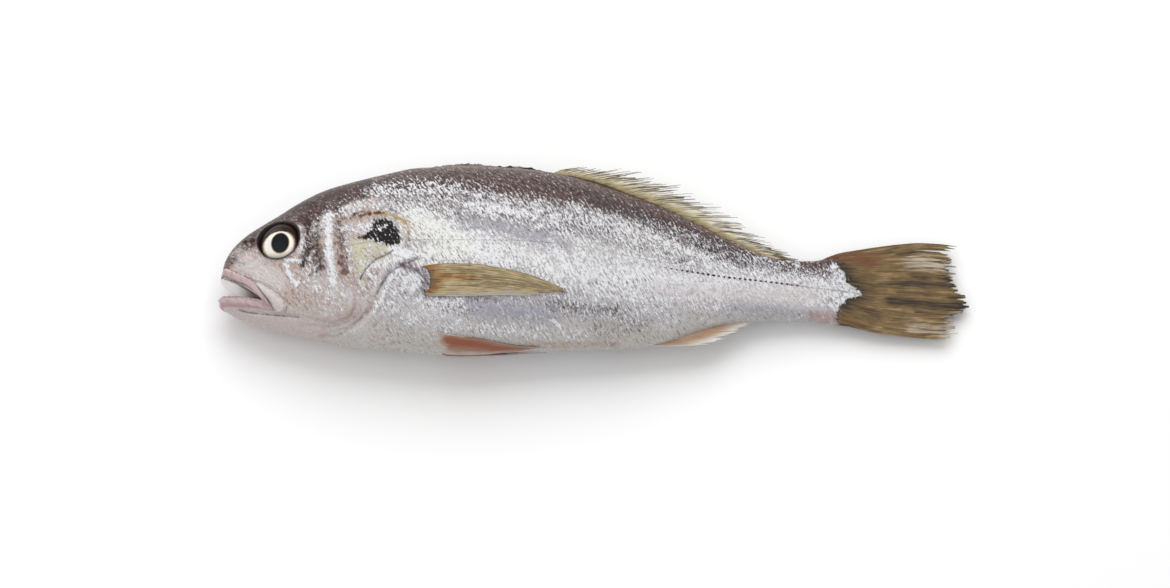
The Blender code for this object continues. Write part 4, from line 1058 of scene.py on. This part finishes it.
def add_tail_fin(material):
    top = through([(235, 9.6), (240, 11.0), (244, 13.0), (248.6, 14.8), (256.6, 16.5), (264.6, 18), (272.6, 19.2),
                   (280.6, 19.9), (288.6, 19.6), (296, 18.6)])
    bottom = through([(235, -12.4), (243, -14.0), (251.8, -15.9), (256.6, -17.1), (264.6, -18.8), (272.6, -19.7),
                      (280.6, -20.5), (288.6, -21), (296, -20.6)])
    tips = through([(0, 295.5), (0.1, 294.6), (0.2, 294.2), (0.3, 294.8), (0.4, 296.6), (0.5, 299),
                    (0.57, TAIL_TIP - 0.8), (0.65, 299.6), (0.75, 296.4), (0.85, 294.6), (0.95, 294.6), (1, 292)])
    margin = through(SCALE_MARGIN)
    paint = {
        "tint": [(1.0, [(0.05, 0.02), (0.3, 0.1), (0.42, 0.16)], 0.09), (0.5, [(0.1, 0.95), (0.3, 0.95)], 0.08)],
        "stain_and_shade": [
            (0.95, [(0.16, 0.24), (0.24, 0.4), (0.25, 0.55), (0.18, 0.75)], 0.14),
            (0.9, [(0.6, 0.43), (1.0, 0.43)], 0.04),
            (0.5, [(0.25, 0.45), (0.6, 0.43)], 0.05), (0.95, [(0.5, 0.63), (0.8, 0.65), (1.1, 0.65)], 0.055),
            (0.7, [(0.2, 0.72), (0.45, 0.8)], 0.05), (0.6, [(0.2, 0), (0.9, 0)], 0.012),
            (0.7, [(0.7, 0.36), (1, 0.36)], 0.03), (0.6, [(0.6, 0.1), (0.95, 0.08)], 0.02),
            (0.6, [(0.55, 0.53), (1, 0.54)], 0.02), (0.6, [(0.7, 0.73), (1, 0.75)], 0.02)],
        "pale": [
            (1.0, [(1.04, 0), (1.04, 0.3)], 0.1), (1.0, [(1.02, 0.78), (1.0, 1)], 0.1),
            (0.7, [(0.72, 0.2), (1, 0.24)], 0.09), (0.5, [(0.7, 0.9), (1, 0.92)], 0.08),
            (0.6, [(0.97, 0.5), (0.99, 0.56)], 0.03)]}

    def place(v, u):
        x = TAIL_ROOT + (tips(v) - TAIL_ROOT) * u
        y = top(x) * (1 - v) + bottom(x) * v
        wave = 0.5 * np.sin(7 * v + 1.2) * u**2
        return np.stack([x, y, spine(x) + wave], axis=-1)

    def cover(points):
        x, y = points[..., 0], points[..., 1]
        body = half_width(x) * np.sqrt(np.clip(1 - height_share(x, y)**2, 0, 1))
        ragged = 4.5 * speckle(np.stack([x, y, 0 * x], axis=-1).reshape(-1, 3), 1.5, 3).reshape(x.shape)
        return body + 0.5 * ease(-0.8, 1.0, x - margin(y) + ragged) - 0.38

    fin_leaf("tail_fin", place, (56, 40), 17, 120, material, 1.0, 0.1, notch=0.05, fray=0.035,
             slits=((0.075, 0.006, 0.3), (0.205, 0.005, 0.1), (0.33, 0.004, 0.14), (0.385, 0.003, 0.1),
                    (0.485, 0.004, 0.1), (0.56, 0.006, 0.12), (0.7, 0.005, 0.16), (0.79, 0.004, 0.12),
                    (0.9, 0.006, 0.1), (0.955, 0.004, 0.12)),
             branches=4, per_ray=20, cover=cover, paint=paint)


def add_anal_fin(material):
    tips = [(0, 196, -25.8), (0.15, 200, -24.4), (0.4, 207, -20.6), (0.7, 211.5, -17.8), (1, 213.5, -16.4)]
    tip_x = through([(v, x) for v, x, y in tips])
    tip_y = through([(v, y) for v, x, y in tips])
    paint = {"tint": [(1.0, [(0, 0), (0.35, 0.2), (0.5, 0.5), (0.3, 0.9)], 0.28)],
             "pale": [(1.0, [(1.0, 0), (0.95, 1)], 0.3), (0.5, [(0.1, 0), (0.9, 0)], 0.03)]}

    def place(v, u):
        root_x = 163.4 + 38.6 * v
        root_y = belly(root_x) + 2.2
        x = root_x * (1 - u) + tip_x(v) * u
        y = root_y * (1 - u) + tip_y(v) * u - 1.1 * np.sin(math.pi * u) * (1 - v)
        return np.stack([x, y, spine(root_x) * (1 - u) + spine(tip_x(v)) * u], axis=-1)

    fin_leaf("anal_fin", place, (26, 26), 9, 60, material, 0.8, 0.08, notch=0.06, fray=0.09, branches=3, per_ray=16,
             paint=paint, slits=((0.3, 0.01, 0.15), (0.52, 0.012, 0.25), (0.7, 0.01, 0.2), (0.86, 0.012, 0.25)))


def add_soft_dorsal(web, horn):
    """The second dorsal fin: its web, and free rays that stand over the web's torn edge."""
    start, span, ray_mm, free_rays = 131, 90, 24, 76
    reach = through([(131, 13), (140, 21), (152, 26), (176, 24.5), (200, 22), (221, 13)])
    rise = through([(131, 2.2), (140, 2.8), (152, 2.2), (168, 0.8), (184, -1.8), (200, -3.6), (210, -3.4), (221, -2)])
    paint = {"stain_and_shade": [(1.0, [(0, 0), (0, 1)], 0.15), (0.9, [(0.22, 0), (0.15, 0.45), (0.12, 1)], 0.05)],
             "tint": [(0.9, [(0.2, 0), (0.2, 1)], 0.22)],
             "pale": [(1.0, [(0.75, 0), (0.7, 1)], 0.3)]}

    def place(v, u):
        x = start + span * v
        away = np.sin(math.pi * np.minimum(u, 0.5)) * 1.2
        length = reach(x)
        y = back(x) - 1.6 + (rise(x) + 1.6) * u + away
        return np.stack([x + length * u, y, spine(x + length * u)], axis=-1)

    fin_leaf("soft_dorsal_web", lambda v, u: place(v, u * 0.82), (ray_mm, span), 30, 44, web, 0.7, 0.08, notch=0.2,
             fray=0.16, per_ray=12, branches=3, paint=paint)
    rays = np.random.RandomState(5)
    points, faces, along_mm = [], [], []
    count, sides = 22, 6
    for k in range(free_rays):
        v = np.clip((k + rays.uniform(-0.4, 0.4)) / (free_rays - 1), 0.002, 0.998)
        u = np.linspace(0.04, rays.uniform(0.72, 1.05), count)
        line = place(np.full(count, v), u)
        bend = rays.uniform(-1.2, 0.7)
        line[:, 1] += bend * ease(0.4, 1, u)
        line[:, 2] += (rays.uniform(-0.2, 0.5) + 0.15) * ease(0.1, 1, u)
        radius = rays.uniform(0.18, 0.34) * (1 - 0.7 * u)
        angle = np.linspace(0, 2 * math.pi, sides, endpoint=False)
        ring = np.stack([np.zeros(sides), np.cos(angle), np.sin(angle)], axis=1)
        base = len(points) * count * sides
        points.append((line[:, None] + ring[None] * radius[:, None, None]).reshape(-1, 3))
        faces += [tuple(base + i for i in f) for f in grid_faces(count, sides)]
        ray_at = np.column_stack([u * ray_mm, np.full(count, v * span), np.zeros(count)])
        along_mm.append(np.repeat(ray_at, sides, axis=0))
    piece = make_piece("soft_dorsal_rays", np.vstack(points), faces, horn)
    along_mm = np.vstack(along_mm)
    set_values(piece, "fin_mm", along_mm)
    for key, value in (("ray", 1.0), ("stain_and_shade", 0.0), ("tint", 0.0), ("pale", 0.0)):
        set_values(piece, key, np.full(len(along_mm), value))


def add_spiny_dorsal(material):
    paint = {"stain_and_shade": [(1.0, [(0.3, 0.62), (1, 0.64), (1, 0.84), (0.3, 0.88)], 0.09), (0.5, [(1, 0), (1, 1)], 0.2)],
             "tint": [(0.6, [(0, 0), (0, 1)], 0.4)], "pale": []}
    tall = through([(82, 0.2), (85, 0.7), (90, 1.3), (97, 1.9), (104, 1.8), (110, 1.3), (114, 1.4),
                    (118, 1.7), (125, 1.6), (128, 1.0), (133, 0.4)])

    def place(v, u):
        x = 82 + 51 * v
        height = tall(x) + 0.12 * np.sin(v * 77) * ease(82, 86, x)
        return np.stack([x, back(x) - 2.2 + (height + 2.2) * u, spine(x)], axis=-1)

    fin_leaf("spiny_dorsal", place, (4, 51), 20, 14, material, 2.0, 0.12, notch=0.03, fray=0.04, per_ray=12,
             paint=paint)


def build():
    """Every piece with its material. A fin's layers lie on the plain colour of its web, the last one on top."""
    add_skin(wet_silver_skin(), mouth_lining())
    add_lips(soft_pink_flesh(), tooth_enamel())
    add_eyes(eye_material())
    add_pectoral_fins(fin_material("pectoral_fin_web", "#b3a078", (
        ("#8d7a55", None, {"cloud": 0.6, "streak": 0.6}, -0.3, 1.2),
        ("#8a5a20", "tint", {"tint": 1.2, "cloud": 0.3}, 0.1, 1.1),
        ("#6a5c42", "stain_and_shade", {"stain_and_shade": 1.2, "streak": 0.5, "cloud": 0.3}, 0.2, 1.4),
        ("#3f3426", None, {"fibre": 1.0, "ray": 0.6}, 0.3, 1.3),
        ("#cdc0a0", None, {"fibre": -1.0, "streak": -0.4}, 0.4, 1.6),
        ("#aaa295", "pale", {"pale": 1.4, "streak": 0.6, "cloud": 0.4}, 0.3, 1.2))))
    add_pelvic_fins(fin_material("pelvic_fin_web", "#a58674", (
        ("#8f6a58", None, {"streak": 1.0}, -0.5, 1.5),
        ("#8e4b2b", "tint", {"tint": 1.2, "streak": 0.3}, 0.15, 1.1),
        ("#b8aca5", "pale", {"pale": 1.2, "streak": 0.5, "cloud": 0.4}, 0.2, 1.2),
        ("#7a4638", "stain_and_shade", {"stain_and_shade": 1.1, "streak": 0.3}, 0.3, 1.3),
        ("#6b3c2c", None, {"fibre": 1.0, "ray": 0.3}, 0.6, 2.2))))
    add_tail_fin(fin_material("tail_fin_web", "#786039", (
        ("#a98f68", None, {"cloud": 0.5, "streak": 0.9}, 0.1, 1.5),
        ("#3d2b18", None, {"streak": -1.0, "cloud": -0.4}, -0.1, 1.3),
        ("#6f4427", "tint", {"tint": 1.2, "cloud": 0.4}, 0.2, 1.2),
        ("#cbc1b0", "pale", {"pale": 1.2, "streak": 0.6}, 0.25, 1.4),
        ("#271c15", "stain_and_shade", {"stain_and_shade": 1.3, "streak": 0.8, "fibre": 0.3}, 0.3, 1.3),
        ("#33261a", None, {"fibre": 1.0, "ray": 0.35}, 0.35, 1.6),
        ("#b59f78", None, {"fibre": -1.0, "streak": 0.5, "stain_and_shade": -1.2}, 0.6, 1.9))))
    add_anal_fin(fin_material("anal_fin_web", "#cbbfb0", (
        ("#b39d84", None, {"streak": 1.0}, -0.2, 1.4),
        ("#ad8261", "tint", {"tint": 1.2, "streak": 0.3}, 0.2, 1.4),
        ("#e8e4dc", "pale", {"pale": 1.2, "streak": 0.4}, 0.25, 1.2),
        ("#8f6f55", None, {"fibre": 1.0, "pale": -0.8}, 0.5, 1.9))))
    dorsal_web = fin_material("dorsal_fin_web", "#c4b68c", (
        ("#8c7c56", "tint", {"tint": 1.0, "cloud": 0.3}, 0.1, 1.1),
        ("#6f5f3d", None, {"streak": 0.8, "cloud": 0.4}, 0.1, 1.5),
        ("#f0ece0", "pale", {"pale": 1.1, "streak": 0.6, "cloud": 0.3}, 0.1, 1.2),
        ("#33281b", "stain_and_shade", {"stain_and_shade": 1.3, "streak": 0.3}, 0.15, 1.1),
        ("#453824", None, {"fibre": 1.0, "streak": 0.6}, 0.1, 1.0)))
    add_soft_dorsal(dorsal_web, fin_material("dorsal_ray_horn", "#6b5c40", (
        ("#998a66", None, {"streak": 1.0, "cloud": 0.4}, 0.0, 1.2),
        ("#3f3324", None, {"streak": -1.0, "cloud": 0.4}, 0.2, 1.3))))
    add_spiny_dorsal(fin_material("spiny_dorsal_web", "#857867", (
        ("#544838", None, {"cloud": 0.6, "streak": 0.6}, 0.0, 1.3),
        ("#6b5a50", "tint", {"tint": 1.0}, 0.2, 1.2),
        ("#0f0c0a", "stain_and_shade", {"stain_and_shade": 1.2, "cloud": 0.4, "grain": 0.3}, 0.35, 1.0))))


def add_room():
    """Pale table, soft light from above and behind the back, and the camera of the photograph."""
    table = bpy.data.meshes.new("table_top")
    table.from_pydata([(-3, -3, 0), (3, -3, 0), (3, 3, 0), (-3, 3, 0)], [], [(0, 1, 2, 3)])
    made, tree, shader = new_material("white_table_laminate")
    set_inputs(tree, shader, {"Base Color": linear("#fafafa"), "Roughness": 0.6})
    table.materials.append(made)
    floor = put_in_scene("table_top", table)
    world = bpy.data.worlds.new("studio")
    world.use_nodes = True
    set_inputs(world.node_tree, world.node_tree.nodes["Background"], {"Color": linear("#ffffff"), "Strength": 0.62})
    bpy.context.scene.world = world
    bpy.context.scene.view_settings.view_transform = "Standard"
    for name, place, size, power in (("key", (0.0, 0.75, 1.0), 1.1, 10.5), ("fill", (-0.7, -0.2, 1.0), 1.0, 2.0)):
        lamp = bpy.data.lights.new(name, "AREA")
        lamp.size = size
        lamp.energy = power
        holder = put_in_scene(name, lamp)
        holder.location = place
        holder.visible_glossy = name != "key"
        holder.rotation_euler = (-Vector(place)).to_track_quat("-Z", "Y").to_euler()
    target = Vector(placed((146.6, -6.4, 18.0)))
    away = Vector((0, -math.cos(CAMERA_ELEVATION), math.sin(CAMERA_ELEVATION)))
    lens = bpy.data.cameras.new("camera")
    lens.sensor_width = 36
    lens.lens = 36 * (CAMERA_DISTANCE + 0.008) / (PHOTO_WIDTH_PX * PHOTO_PIXEL_MM * MM)
    camera = put_in_scene("camera", lens)
    camera.location = target + away * CAMERA_DISTANCE
    camera.rotation_euler = (-away).to_track_quat("-Z", "Y").to_euler()
    bpy.context.scene.camera = camera


build()
add_room()
